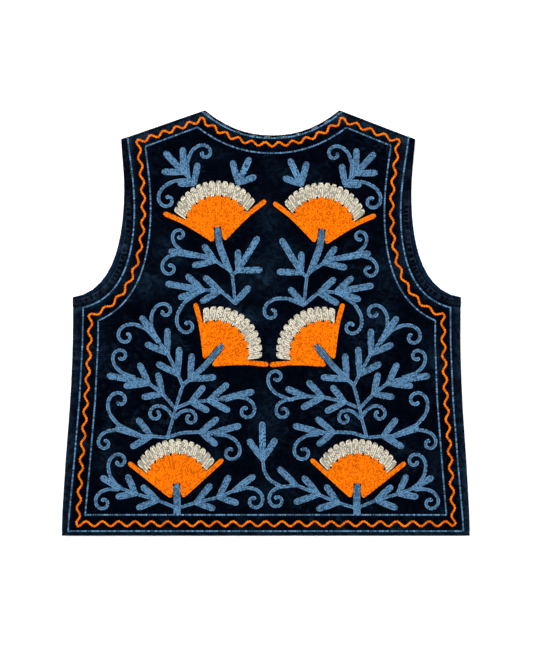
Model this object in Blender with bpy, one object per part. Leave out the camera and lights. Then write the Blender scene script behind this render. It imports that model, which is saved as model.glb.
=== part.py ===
"""Embroidered folk vest, laid flat with its back upwards. Metres, +Z up.

The two fronts lie face down underneath, the back lies on them, and the raised
embroidery lies on the back. The origin is below the vest's middle, on the
surface that it lies on; +Y runs from the hem to the neck. The pieces are
drawn from the middle of the hem, and each object is moved down by half of
the vest's length.
"""
import math

import bmesh
import bpy
from mathutils import Vector
from mathutils.bvhtree import BVHTree

# Driving dimensions of the garment
NAME = "folk_vest"
LENGTH = 0.525
TIP_HEIGHT = 0.489
LEAN = 0.003
NECK_POINTS = (-0.075, 0.091)
NECK_DEPTH = 0.031
NECK_FULLNESS = 2.2
FRONT_GAP = 0.0015
FRONT_NECK_BREAK = 0.330
FRONT_NECK_BENDS = (0.40, 0.44)
FRONT_NECK_SLOPE = 0.93
HEM_CORNER = 0.0018

# Side edge from the hem up: height, half width
SIDE = (
    (0.000, 0.2518),
    (0.022, 0.2514),
    (0.091, 0.2473),
    (0.170, 0.2415),
    (0.239, 0.2388),
    (0.280, 0.2390),
)

# Armhole edges from the underarm to the shoulder tip: control points of two
# curves that share the middle point, as half width and height
BACK_ARMHOLE = (
    (0.2395, 0.2925), (0.186, 0.296), (0.1757, 0.352), (0.1757, 0.405),
    (0.1757, 0.437), (0.180, 0.462), (0.1815, TIP_HEIGHT),
)
FRONT_ARMHOLE = (
    (0.2395, 0.2945), (0.189, 0.300), (0.1765, 0.368), (0.1773, 0.430),
    (0.1775, 0.450), (0.180, 0.462), (0.1815, TIP_HEIGHT),
)

# Cloth
WALL = 0.0020
GAP = 0.0003
BAND_WIDTHS = (0.0107, 0.0101, 0.0068)
BINDING_RADIUS = 0.0009
BINDING_TRIM = 0.1
EDGE_TOP = 2 * WALL + GAP
RISE = 0.0009
SEAM_RISE = 0.8
EDGE_STRIP = 0.005
BAND_RIDGE = 0.0005
PANEL_COLUMNS = 20
PANEL_SIDE_ROWS = 9
EDGE_ROW = 0.2
FRONT_COLUMNS = 5
FRONT_SIDE_ROWS = 5
FINE_STEPS = 400
MERGE = 0.00002
SHARP = math.radians(35)

# Soft waves in the laid cloth: height, length across, length along, phase
WAVES = (
    (0.00022, 0.31, 0.47, 0.6),
    (0.00018, 0.23, 0.29, 2.1),
)

# Insets of the border rows from each edge: row, hem, side, armhole, shoulder,
# neck. Three numbers are the insets at an edge's start, middle and end, going up
BORDER_ROWS = {
    "outer": (0.0060, (0.0078, 0.0113, 0.0130), (0.0130, 0.0118, 0.0086), 0.0010, 0.0030),
    "wave": (0.0150, (0.0200, 0.0198, 0.0225), (0.0252, 0.0228, 0.0210), 0.0100, 0.0115),
    "inner": (0.0260, (0.0275, 0.0308, 0.0315), (0.0345, 0.0318, 0.0290), (0.0190, 0.0178, 0.0168), 0.0223),
}
LINE_HALF = 0.0011
LINE_HEIGHT = 0.0009
WAVE_HALF = 0.0018
WAVE_HEIGHT = 0.0011
WAVE_SWING = {"hem": 0.0030, "side": 0.0023, "armhole": 0.0022, "shoulder": 0.0026, "neck": 0.0025}
WAVE_PITCH = {"hem": 0.0205, "side": 0.0199, "armhole": 0.0200, "shoulder": 0.0170, "neck": 0.0175}
STITCH_GAP = 0.0004
SAMPLE = 0.036
HOLE_STEPS = (13, 4)
NECK_STEPS = 14

# The motifs mirror about an axis. The right half's are a little off the mirror
# image: height, how far outward, how far up
MOTIF_AXIS = 0.0028
RIGHT_SHIFT = (
    (0.000, -0.0015, 0.0),
    (0.040, -0.0027, 0.0),
    (0.135, -0.0022, 0.0),
    (0.190, 0.0008, 0.0),
    (0.208, 0.0026, -0.0003),
    (0.300, 0.0038, -0.0023),
    (0.350, 0.0040, -0.0026),
    (0.440, 0.0040, -0.0014),
)

# Fans of each half: name, outward, height, direction, half angle, bud length,
# lobes, petals, by how many degrees the bars curve out, and its size for the radii
FANS = (
    ("top", 0.060, 0.3590, 83, 53.5, 0.022, 10, 15, 5, 1.03),
    ("middle", 0.077, 0.2105, 130, 49.5, 0.033, 9, 12, 5, 1.01),
    ("low", 0.112, 0.0428, 88, 49.5, 0.022, 9, 14, 0, 1.0),
)
FAN_HEIGHT = 0.0011
FAN_START = 0.0086
FAN_ROOT = 0.0098
FAN_RADIUS = 0.0595
FAN_DROP = 0.009
DROOP_ANGLE = 48
LOBE_DEPTH = 0.0034
BAR_LENGTH = 0.0765
BAR_HALF = 0.0030
PETAL_HEIGHT = 0.0010
PETAL_TIP = 0.0768
PETAL_DROP = 0.0102
PETAL_DEPTH = 0.0042
BUD_HALF = 0.0042

# Vines. A strip's half widths are pairs: share of its length, half width there
STEM_HALF = 0.0019
VINE_HEIGHT = 0.0010
LEAF_HALVES = ((0.0, 0.0031), (1.0, 0.0042))
BAR_HALVES = ((0.0, 0.0022), (1.0, 0.0030))
CURL_WIND = 420
CURL_EYE = 0.0036
CURL_STEPS = 10

# Stalks that carry the buds: fan, points below it in millimetres, half widths
STALKS = {
    "upper_vine": (0, ((44, 322), (52, 338)), ((0.0, 0.0020), (0.35, 0.0044), (0.62, 0.0042), (1.0, 0.0039))),
    "lower_vine": (1, ((94, 195),), ((0.0, 0.0034), (0.5, 0.0037), (1.0, 0.0040))),
    "hem_spray": (2, ((112, 27.6),), ((0.0, 0.0044), (0.6, 0.0044), (1.0, 0.0042))),
}

# Each vine of a half, in millimetres outward from the motif axis and up from
# the hem. Stems: points of a stem, each with its leaves as direction, length.
# Curls: root, eye, radius of the ring, turn (1 is anticlockwise).
VINES = {
    "shoulder_sprig": (
        (
            ((91, 434.2, ((0, 20), (100, 26))), (96, 440, ()), (104, 448, ((2, 27), (47, 35), (88, 31)))),
        ),
        (
            ((96, 438), (124, 414), 13, -1),
            ((97, 439), (78, 472), 12, 1),
        ),
    ),
    "neck_sprig": (
        (
            ((37, 434.6, ((76, 29), (115, 35), (159, 24))), (38, 436, ())),
        ),
        (),
    ),
    "upper_vine": (
        (
            ((44, 322, ()), (42, 303, ()), (41, 287, ((132, 28),))),
            ((44, 322, ()), (37, 327, ((90, 26), (121, 49), (178, 30)))),
            ((47, 327, ()), (65, 339, ((53, 25), (-12, 29))), (77, 344, ((9, 46),))),
            ((41, 287, ()), (59, 302, ((42, 27), (-30, 28))), (80, 303, ((42, 28), (10, 47), (-18, 32)))),
        ),
        (
            ((89, 347), (109, 371), 9, 1),
            ((96, 345), (121, 330), 12, -1),
            ((82, 302), (99, 259), 12, -1),
        ),
    ),
    "lower_vine": (
        (
            ((124, 121.3, ()), (117, 145, ()), (114, 157, ()), (105, 185, ()),
             (96, 193, ((94, 32), (175, 32)))),
            ((105, 185, ()), (111, 199, ((93, 34), (28, 30))), (124, 225, ((90, 31), (24, 30))),
             (135, 240, ((55, 38),))),
            ((114, 157, ()), (130, 175, ((77, 27), (-9, 26))), (147, 188, ((64, 28), (-6, 31))),
             (156, 191, ((9, 43),))),
            ((114, 157, ()), (95, 165, ((130, 26), (-153, 25))), (73, 167, ((139, 32), (-153, 29))),
             (57, 169, ((167, 41),))),
            ((124, 121.3, ()), (106, 127, ()), (83, 128, ((141, 28), (-141, 26))), (70, 127, ((166, 38),))),
            ((124, 121.3, ()), (144, 123, ((52, 28), (-29, 29))), (157, 123, ((20, 33),))),
        ),
        (
            ((136, 241), (127, 277), 12, 1),
            ((136, 239), (175, 246), 14, -1),
            ((165, 196), (181, 222), 11, 1),
            ((52, 167), (27, 154), 14, 1),
            ((117, 146), (138, 150), 11, -1),
            ((115, 145), (96, 145), 10, 1),
            ((65, 125), (46, 103), 14, 1),
            ((163, 127), (183, 167), 15, 1),
            ((170, 126), (201, 114), 10, -1),
        ),
    ),
    "hem_spray": (
        (
            ((112, 34, ()), (136, 44, ((42, 27), (-21, 28))), (163, 52, ((65, 26), (-9, 25))),
             (182, 59, ((30, 28),))),
            ((112, 34, ()), (89, 41, ((130, 30), (-162, 25))), (61, 48, ((117, 30), (-162, 26))),
             (42, 56, ((144, 32),))),
        ),
        (
            ((185, 61), (183, 92), 12, 1),
            ((185, 57), (203, 41), 12, -1),
            ((38, 56), (17, 43), 14, 1),
        ),
    ),
}

# The right half's own stretches: its upper vine has the centre curl, its lower
# vine ends in two curls, and its hem spray runs on to the centre sprig. They
# take the place of the stem or curl with their number. Same columns as above.
RIGHT_STEMS = {
    "lower_vine": {3: ((114, 157, ()), (95, 165, ((129, 26), (-153, 27))), (68, 171, ((134, 28), (-153, 30))),
                       (47, 172, ((158, 27),)), (25, 168, ()))},
    "hem_spray": {1: ((112, 34, ()), (89, 41, ((126, 27), (-163, 28))), (65, 51, ((131, 30), (-162, 32))),
                      (38, 62, ((136, 32),)), (20, 61, ()), (5, 69, ()), (-2, 80, ()),
                      (-4, 94, ((126, 31), (91, 47), (58, 31))))},
}
RIGHT_CURLS = {
    "upper_vine": {2: (((82, 302), (99, 259), 12, -1), ((40, 286), (1, 277), 12, 1))},
    "lower_vine": {3: (((26, 169), (9, 196), 11, -1), ((31, 168), (20, 153), 11, 1))},
    "hem_spray": {2: (((23, 61), (14, 44), 12, 1),)},
}

# Colours: name, red, green, blue, roughness
FINISHES = {
    "velvet": (0.010, 0.020, 0.048, 0.85),
    "band": (0.013, 0.026, 0.062, 0.80),
    "blue_thread": (0.10, 0.24, 0.44, 0.65),
    "orange_thread": (0.95, 0.21, 0.005, 0.6),
    "cream_thread": (0.68, 0.63, 0.50, 0.65),
}


def clear_scene():
    """Remove the objects that a new file starts with."""
    for obj in list(bpy.data.objects):
        bpy.data.objects.remove(obj)


def new_collection():
    """The collection that holds the vest."""
    group = bpy.data.collections.new(NAME)
    bpy.context.scene.collection.children.link(group)
    return group


def finish_object(name, mesh, finish, group):
    """Link a mesh as one named piece with a material of its own."""
    red, green, blue, roughness = FINISHES[finish]
    material = bpy.data.materials.new(name)
    material.use_nodes = True
    shader = material.node_tree.nodes["Principled BSDF"]
    shader.inputs["Base Color"].default_value = (red, green, blue, 1)
    shader.inputs["Roughness"].default_value = roughness
    mesh.materials.clear()
    mesh.materials.append(material)
    mesh.shade_smooth()
    mesh.set_sharp_from_angle(angle=SHARP)
    obj = bpy.data.objects.new(name, mesh)
    obj.location = (0, -LENGTH / 2, 0)
    group.objects.link(obj)
    return obj


def lean(height):
    """How far the garment's centre line lies to the right at a height."""
    return LEAN * (max(height, 0) / TIP_HEIGHT) ** 1.5


def cubic(points, counts):
    """Points along joined cubic curves, each with its own count of steps."""
    out = [Vector(points[0])]
    for k, count in enumerate(counts):
        a, b, c, d = (Vector(p) for p in points[3 * k:3 * k + 4])
        for i in range(1, count + 1):
            t = i / count
            s = 1 - t
            out.append(a * s**3 + b * 3 * s * s * t + c * 3 * s * t * t + d * t**3)
    return out


def resample(path, count):
    """Points at even distances along a path, ends included."""
    lengths = [0.0]
    for a, b in zip(path, path[1:]):
        lengths.append(lengths[-1] + (b - a).length)
    out = []
    k = 0
    for i in range(count + 1):
        target = lengths[-1] * i / count
        while k < len(path) - 2 and lengths[k + 1] < target:
            k += 1
        span = lengths[k + 1] - lengths[k]
        out.append(path[k].lerp(path[k + 1], (target - lengths[k]) / span))
    return out


def path_length(path):
    """Length of a path."""
    return sum((b - a).length for a, b in zip(path, path[1:]))


def right_edges(armhole):
    """Side, armhole and shoulder of the right half, from the hem up."""
    side = [Vector((half, height)) for height, half in SIDE] + [Vector(armhole[0])]
    hole = cubic(armhole, HOLE_STEPS)
    shoulder = [hole[-1].copy(), Vector((NECK_POINTS[1] - lean(LENGTH), LENGTH))]
    return [side, hole, shoulder]


def outline_edges(armhole):
    """The eight edges of the outline, anticlockwise from the left end of the hem."""
    edges = []
    for sign, neck_x in ((1, NECK_POINTS[1]), (-1, NECK_POINTS[0])):
        runs = right_edges(armhole)
        runs[2][1].x = sign * (neck_x - lean(LENGTH))
        half = [[Vector((sign * p.x + lean(p.y), p.y)) for p in run] for run in runs]
        edges.append(half)
    right, left = edges
    start, end = right[2][1], left[2][1]
    neck = []
    for i in range(NECK_STEPS + 1):
        share = i / NECK_STEPS
        fall = NECK_DEPTH * (1 - abs(2 * share - 1) ** NECK_FULLNESS)
        neck.append(Vector((start.x + (end.x - start.x) * share, LENGTH - fall)))
    hem = [left[0][0], right[0][0]]
    down = [run[::-1] for run in left[::-1]]
    return [hem, right[0], right[1], right[2], neck, down[0], down[1], down[2]]


def inset_at(inset, share):
    """An inset at a share of an edge's length: one number, or those at its start, middle and end."""
    if not isinstance(inset, tuple):
        return inset
    start, middle, end = inset
    near = start if share < 0.5 else end
    return middle + (near - middle) * (1 - 2 * min(share, 1 - share)) ** 2


def moved_path(path, inset):
    """A path moved to its left by an inset."""
    length = path_length(path)
    reached = 0.0
    out = []
    for i, point in enumerate(path):
        ahead = path[min(i + 1, len(path) - 1)]
        behind = path[max(i - 1, 0)]
        reached += (point - path[max(i - 1, 0)]).length
        along = (ahead - behind).normalized()
        out.append(point + Vector((-along.y, along.x)) * inset_at(inset, min(reached / length, 1)))
    return out


def run_out_path(path, inset):
    """A path moved to its left by an inset, with its ends run out straight."""
    out = moved_path(path, inset)
    run_out = max(inset_at(inset, 0), inset_at(inset, 1), GAP) * 4
    out[0] = out[0] + (out[0] - out[1]).normalized() * run_out
    out[-1] = out[-1] + (out[-1] - out[-2]).normalized() * run_out
    return out


def crossing(first, second):
    """Where the end of one path crosses the start of the next: indices and point."""
    for i in range(len(first) - 2, -1, -1):
        a, b = first[i], first[i + 1]
        for j in range(len(second) - 1):
            c, d = second[j], second[j + 1]
            ab, cd = b - a, d - c
            area = ab.x * cd.y - ab.y * cd.x
            if abs(area) < 1e-12:
                continue
            ac = c - a
            s = (ac.x * cd.y - ac.y * cd.x) / area
            t = (ac.x * ab.y - ac.y * ab.x) / area
            if -1e-6 <= s <= 1 + 1e-6 and -1e-6 <= t <= 1 + 1e-6:
                return i, j, a + ab * s
    raise ValueError("border rows do not meet at a corner")


def border(insets, armhole=BACK_ARMHOLE):
    """The outline's eight edges, each moved in by its inset and cut at the corners."""
    hem, side, hole, shoulder, neck = insets
    down = [inset[::-1] if isinstance(inset, tuple) else inset for inset in (shoulder, hole, side)]
    order = (hem, side, hole, shoulder, neck, *down)
    runs = [run_out_path(edge, inset) for edge, inset in zip(outline_edges(armhole), order)]
    corners = [crossing(runs[k - 1], runs[k]) for k in range(8)]
    cut = []
    for k, run in enumerate(runs):
        first = corners[k]
        last = corners[(k + 1) % 8]
        cut.append([first[2]] + run[first[1] + 1:last[0] + 1] + [last[2]])
    return cut


def patch(bottom, top, left, right, across, up):
    """Grid between four sides: even in the middle, following each side near it."""
    rows = []
    last = len(up) - 1
    for j, v in enumerate(up):
        row = []
        for i, u in enumerate(across):
            point = bottom[i].lerp(top[i], v)
            pull_left = max(0.0, 1 - 2 * u) ** 2
            pull_right = max(0.0, 2 * u - 1) ** 2
            if 0 < j < last:
                point = point + (left[j] - bottom[0].lerp(top[0], v)) * pull_left
                point = point + (right[j] - bottom[-1].lerp(top[-1], v)) * pull_right
            row.append(point)
        rows.append(row)
    return rows


def at_fractions(path, fractions):
    """Points of a path at given fractions of its length."""
    fine = resample(path, FINE_STEPS)
    return [fine[round(f * FINE_STEPS)] for f in fractions]


def cloth_wave(x, y):
    """Height of the soft waves in the laid cloth."""
    total = 0.0
    for height, across, along, phase in WAVES:
        total += height * math.sin(math.tau * (x / across + y / along) + phase)
    return total


def slab(rows, lower):
    """Closed cloth: a grid of (x, y, z) as its top, its lower points from a function."""
    bm = bmesh.new()
    grid = [[bm.verts.new(point) for point in row] for row in rows]
    for below, above in zip(grid, grid[1:]):
        for i in range(len(below) - 1):
            bm.faces.new((below[i], below[i + 1], above[i + 1], above[i]))
    lifted = bmesh.ops.extrude_face_region(bm, geom=bm.faces[:])
    for item in lifted["geom"]:
        if isinstance(item, bmesh.types.BMVert):
            item.co.z = lower(item.co)
    bmesh.ops.recalc_face_normals(bm, faces=bm.faces)
    mesh = bpy.data.meshes.new("cloth")
    bm.to_mesh(mesh)
    bm.free()
    return mesh


def stations(side_run, hole_run, side_count):
    """Points up one side, then those of its armhole as they are."""
    return resample(side_run, side_count) + hole_run[1:]


def ease(fractions, strip):
    """Fractions from 0 to 1 with one more near each end, for the fallen edge."""
    return [0.0, strip] + fractions + [1 - strip, 1.0]


def band_seam(extra):
    """Insets of the bands' seam from the armhole, at the underarm, in the middle and at the tip."""
    return tuple(width + extra for width in BAND_WIDTHS)


def panel_edges():
    """Left, right, bottom and top points of the back, and its columns and rows as shares."""
    hem, side_r, hole_r, shoulder_r, neck, shoulder_l, hole_l, side_l = border(
        (0, 0, band_seam(GAP / 2), 0, 2 * BINDING_RADIUS + GAP))
    across = ease([i / PANEL_COLUMNS for i in range(1, PANEL_COLUMNS)], EDGE_STRIP / (2 * SIDE[0][1]))
    tops = at_fractions(shoulder_l[::-1] + neck[::-1][1:] + shoulder_r[::-1][1:], across)
    corners = []
    for corner in (shoulder_l[0], shoulder_r[-1]):
        nearest = min(range(len(tops)), key=lambda i: (tops[i] - corner).length)
        tops[nearest] = corner
        corners.append(nearest)
    left = stations(side_l[::-1], hole_l[::-1], PANEL_SIDE_ROWS)
    right = stations(side_r, hole_r, PANEL_SIDE_ROWS)
    steps = len(left) - 1
    up = ease([j / steps for j in range(1, steps)], EDGE_STRIP / LENGTH)
    for points in (left, right):
        points.insert(1, points[0].lerp(points[1], EDGE_ROW))
        points.insert(-1, points[-1].lerp(points[-2], EDGE_ROW))
    return left, right, at_fractions(hem, across), tops, across, up, corners


def back_panel(group):
    """The back, from the hem to the shoulders, inside the armhole bands."""
    left, right, bottoms, tops, across, up, _ = panel_edges()
    rows = patch(bottoms, tops, left, right, across, up)
    rows[0][0] += Vector((HEM_CORNER, HEM_CORNER))
    rows[0][-1] += Vector((-HEM_CORNER, HEM_CORNER))
    solid_rows = []
    for j, row in enumerate(rows):
        line = []
        for i, point in enumerate(row):
            share = 1.0
            if j in (0, len(rows) - 1):
                share = 0.0
            elif i in (0, len(row) - 1):
                share = SEAM_RISE if j > PANEL_SIDE_ROWS + 1 else 0.0
            z = EDGE_TOP + share * (RISE + cloth_wave(point.x, point.y))
            line.append((point.x, point.y, z))
        solid_rows.append(line)
    mesh = slab(solid_rows, lambda co: co.z - WALL)
    return finish_object("back_panel", mesh, "velvet", group)


def band_rows(armhole, levels):
    """Rows of a band, from the armhole edge to its seam; levels: inset share, height."""
    runs_outer = border((0, 0, 0, 0, 0), armhole)
    runs_seam = border((0, 0, band_seam(-GAP / 2), 0, 0), armhole)
    sides = {}
    for name, index in (("right", 2), ("left", 6)):
        seam = runs_seam[index]
        outer = resample(runs_outer[index], len(seam) - 1)
        sides[name] = [[(*a.lerp(b, share), height) for a, b in zip(outer, seam)] for share, height in levels]
    return sides


def armhole_bands(group):
    """The narrow bands round the armholes: on the back, and under it on the fronts."""
    top = EDGE_TOP + SEAM_RISE * RISE
    levels = ((0.0, EDGE_TOP), (0.3, top + BAND_RIDGE), (0.7, top + BAND_RIDGE), (1.0, top))
    for side, rows in band_rows(BACK_ARMHOLE, levels).items():
        finish_object(f"back_armhole_band_{side}", slab(rows, lambda co: co.z - WALL), "band", group)
    for side, rows in band_rows(FRONT_ARMHOLE, ((0.0, WALL), (1.0, WALL))).items():
        finish_object(f"front_armhole_band_{side}", slab(rows, lambda co: 0.0), "band", group)


def fronts(group):
    """The two fronts underneath, face down, edges meeting at the middle."""
    runs = border((0, 0, band_seam(GAP / 2), 0, 0), FRONT_ARMHOLE)
    hem, side_r, hole_r, shoulder_r, _, shoulder_l, hole_l, side_l = runs
    across = [i / FRONT_COLUMNS for i in range(FRONT_COLUMNS + 1)]
    middle = (hem[0] + hem[1]) / 2
    halves = (
        ("right", 1, side_r, hole_r, shoulder_r),
        ("left", -1, side_l[::-1], hole_l[::-1], shoulder_l[::-1]),
    )
    for side, sign, side_run, hole_run, shoulder in halves:
        neck_point = shoulder[-1]
        foot = Vector((middle.x + sign * FRONT_GAP, 0))
        knee = Vector((foot.x + lean(FRONT_NECK_BREAK), FRONT_NECK_BREAK))
        low, high = FRONT_NECK_BENDS
        curve = [knee, (knee.x, low), (neck_point.x * FRONT_NECK_SLOPE, high), neck_point]
        outer = stations(side_run, hole_run, FRONT_SIDE_ROWS)
        steps = len(outer) - 1
        inner = stations([foot, knee], cubic(curve, (steps - FRONT_SIDE_ROWS,)), FRONT_SIDE_ROWS)
        up = [j / steps for j in range(steps + 1)]
        bottoms = resample([foot, hem[1] if sign > 0 else hem[0]], FRONT_COLUMNS)
        tops = resample([neck_point, shoulder[0]], FRONT_COLUMNS)
        rows = patch(bottoms, tops, inner, outer, across, up)
        rows = [[(*point, WALL) for point in row] for row in rows]
        finish_object(f"front_{side}", slab(rows, lambda co: 0.0), "velvet", group)


def neck_binding(group):
    """The narrow rolled binding along the back neck."""
    _, _, _, tops, _, _, (first, last) = panel_edges()
    edge = moved_path(tops[first:last + 1], GAP + BINDING_RADIUS)
    edge[0] = edge[0].lerp(edge[1], BINDING_TRIM)
    edge[-1] = edge[-1].lerp(edge[-2], BINDING_TRIM)
    curve = bpy.data.curves.new("neck_binding", "CURVE")
    curve.dimensions = "3D"
    curve.bevel_depth = BINDING_RADIUS
    curve.bevel_resolution = 1
    curve.use_fill_caps = True
    spline = curve.splines.new("POLY")
    spline.points.add(len(edge) - 1)
    for target, point in zip(spline.points, edge):
        target.co = (point.x, point.y, EDGE_TOP - BINDING_RADIUS, 1)
    guide = bpy.data.objects.new("neck_binding_path", curve)
    group.objects.link(guide)
    bpy.context.view_layer.update()
    mesh = bpy.data.meshes.new_from_object(guide.evaluated_get(bpy.context.evaluated_depsgraph_get()))
    bpy.data.objects.remove(guide)
    bm = bmesh.new()
    bm.from_mesh(mesh)
    bmesh.ops.remove_doubles(bm, verts=bm.verts, dist=MERGE)
    bmesh.ops.recalc_face_normals(bm, faces=bm.faces)
    bm.to_mesh(mesh)
    bm.free()
    finish_object("neck_binding", mesh, "band", group)


def surface_of(obj):
    """A function that gives the height of an object's top at a place."""
    tree = BVHTree.FromObject(obj, bpy.context.evaluated_depsgraph_get())

    def height(x, y):
        hit = tree.ray_cast(Vector((x, y, 1)), Vector((0, 0, -1)))
        if hit[0] is None:
            raise ValueError(f"no cloth under the embroidery at {x:.4f}, {y:.4f}")
        return hit[0].z

    return height


def ridge(path, half, height, closed, surface):
    """A raised row on the cloth: a low three-sided bar along a path."""
    bm = bmesh.new()
    count = len(path)
    rings = []
    for i, point in enumerate(path):
        ahead = path[(i + 1) % count] if closed or i < count - 1 else point
        behind = path[i - 1] if closed or i > 0 else point
        into = (point - behind).normalized() if behind != point else (ahead - point).normalized()
        out = (ahead - point).normalized() if ahead != point else into
        along = (into + out).normalized()
        reach = half / max(along.dot(out), 0.5)
        aside = Vector((-along.y, along.x)) * reach
        ring = []
        for place, lift in ((point + aside, 0), (point - aside, 0), (point, height)):
            ring.append(bm.verts.new((*place, surface(place.x, place.y) + STITCH_GAP + lift)))
        rings.append(ring)
    pairs = list(zip(rings, rings[1:])) + ([(rings[-1], rings[0])] if closed else [])
    for first, second in pairs:
        for k in range(3):
            m = (k + 1) % 3
            bm.faces.new((first[k], first[m], second[m], second[k]))
    if not closed:
        bm.faces.new(rings[0][::-1])
        bm.faces.new(rings[-1])
    bmesh.ops.recalc_face_normals(bm, faces=bm.faces)
    mesh = bpy.data.meshes.new("row")
    bm.to_mesh(mesh)
    bm.free()
    return mesh


def sampled(runs):
    """Joined runs, with points about one sample apart and one near each corner."""
    out = []
    for run in runs:
        if len(run) <= len(SIDE) + 2:
            run = resample(run, max(1, round(path_length(run) / SAMPLE)))
            run.insert(1, run[0] + (run[1] - run[0]).normalized() * EDGE_STRIP)
            run.insert(-1, run[-1] + (run[-2] - run[-1]).normalized() * EDGE_STRIP)
        out += run[:-1]
    return out


def border_rows(group, surface):
    """The chain-stitched rows: open outer row, closed inner row, neck row."""
    runs = border(BORDER_ROWS["outer"])
    open_runs = [runs[6], runs[7], runs[0], runs[1], runs[2]]
    outer = sampled(open_runs) + [runs[2][-1]]
    outer.insert(1, outer[0] + (outer[1] - outer[0]).normalized() * EDGE_STRIP)
    outer.insert(-1, outer[-1] + (outer[-2] - outer[-1]).normalized() * EDGE_STRIP)
    finish_object("outer_row", ridge(outer, LINE_HALF, LINE_HEIGHT, False, surface), "blue_thread", group)
    inner = sampled(border(BORDER_ROWS["inner"]))
    finish_object("inner_row", ridge(inner, LINE_HALF, LINE_HEIGHT, True, surface), "blue_thread", group)
    _, _, _, tops, _, _, (first, last) = panel_edges()
    neck = moved_path(tops[first:last + 1], -LINE_HALF - GAP)
    finish_object("neck_row", ridge(neck, LINE_HALF, LINE_HEIGHT, False, surface), "blue_thread", group)


def wave_row(group, surface):
    """The waving row between the two chain rows, an outward wave at each corner."""
    runs = border(BORDER_ROWS["wave"])
    kinds = ("hem", "side", "armhole", "shoulder", "neck", "shoulder", "armhole", "side")
    path = []
    for run, kind in zip(runs, kinds):
        waves = round(path_length(run) / WAVE_PITCH[kind])
        steps = 8 * waves
        fine = resample(run, steps)
        for i in range(1, steps, 2):
            along = (fine[i + 1] - fine[i - 1]).normalized()
            outward = Vector((along.y, -along.x))
            swing = WAVE_SWING[kind] * math.copysign(1, math.cos(math.tau * i / 8))
            path.append(fine[i] + outward * swing)
    mesh = ridge(path, WAVE_HALF, WAVE_HEIGHT, True, surface)
    finish_object("wave_row", mesh, "orange_thread", group)


def flat_solid(outline, height):
    """One outline as a flat closed solid of its own."""
    bm = bmesh.new()
    bm.faces.new([bm.verts.new((p.x, p.y, 0)) for p in outline])
    lifted = bmesh.ops.extrude_face_region(bm, geom=bm.faces[:])
    raised = [item for item in lifted["geom"] if isinstance(item, bmesh.types.BMVert)]
    bmesh.ops.translate(bm, verts=raised, vec=(0, 0, height))
    bmesh.ops.triangulate(bm, faces=bm.faces)
    bmesh.ops.recalc_face_normals(bm, faces=bm.faces)
    mesh = bpy.data.meshes.new("outline")
    bm.to_mesh(mesh)
    bm.free()
    obj = bpy.data.objects.new("outline", mesh)
    bpy.context.scene.collection.objects.link(obj)
    return obj


def flat_union(outlines, height):
    """One closed flat solid made of overlapping outlines."""
    objects = [flat_solid(outline, height) for outline in outlines]
    base = objects[0]
    for obj in objects[1:]:
        join = base.modifiers.new("join", "BOOLEAN")
        join.operation = "UNION"
        join.solver = "MANIFOLD"
        join.object = obj
    bpy.context.view_layer.update()
    mesh = bpy.data.meshes.new_from_object(base.evaluated_get(bpy.context.evaluated_depsgraph_get()))
    for obj in objects:
        bpy.data.objects.remove(obj)
    bm = bmesh.new()
    bm.from_mesh(mesh)
    bmesh.ops.remove_doubles(bm, verts=bm.verts, dist=MERGE)
    bmesh.ops.dissolve_limit(bm, angle_limit=math.radians(1), verts=bm.verts, edges=bm.edges)
    bmesh.ops.delete(bm, geom=[edge for edge in bm.edges if edge.is_wire], context="EDGES")
    bmesh.ops.triangulate(bm, faces=bm.faces)
    bm.to_mesh(mesh)
    bm.free()
    return mesh


def lay_on(mesh, surface):
    """Lay a flat solid on the cloth, a stitch gap above it."""
    for vertex in mesh.vertices:
        vertex.co.z += surface(vertex.co.x, vertex.co.y) + STITCH_GAP


def polar(origin, axis, angle, radius):
    """A point at an angle in degrees from an axis direction in degrees."""
    turn = math.radians(axis + angle)
    return origin + Vector((math.cos(turn), math.sin(turn))) * radius


def half_at(halves, share):
    """Half width at a share of a length, from pairs of share and half width."""
    for (s0, h0), (s1, h1) in zip(halves, halves[1:]):
        if share <= s1:
            return h0 + (h1 - h0) * (share - s0) / (s1 - s0)
    return halves[-1][1]


def strip_outline(path, halves, nose=True, heel=False):
    """The outline of a strip along a path, with a blunt nose at its far end and a blunt heel at its root."""
    length = path_length(path)
    path = list(path)
    root, tip = path[0], path[-1]
    if nose:
        path[-1] = tip - (tip - path[-2]).normalized() * halves[-1][1]
    if heel:
        path[0] = root + (path[1] - root).normalized() * halves[0][1]
    left, right = [], []
    reached = 0.0
    for i, point in enumerate(path):
        ahead = path[min(i + 1, len(path) - 1)]
        behind = path[max(i - 1, 0)]
        reached += (point - behind).length
        along = (ahead - behind).normalized()
        aside = Vector((-along.y, along.x)) * half_at(halves, reached / length)
        if heel and i == 0:
            left.append(root + aside * 0.5)
            right.append(root - aside * 0.5)
        left.append(point + aside)
        right.append(point - aside)
    if nose:
        left.append(tip + aside * 0.5)
        right.append(tip - aside * 0.5)
    return right + left[::-1]


def droop(angle):
    """Share of a fan's drop in radius at an angle off its axis."""
    return (angle / DROOP_ANGLE) ** 2


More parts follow.
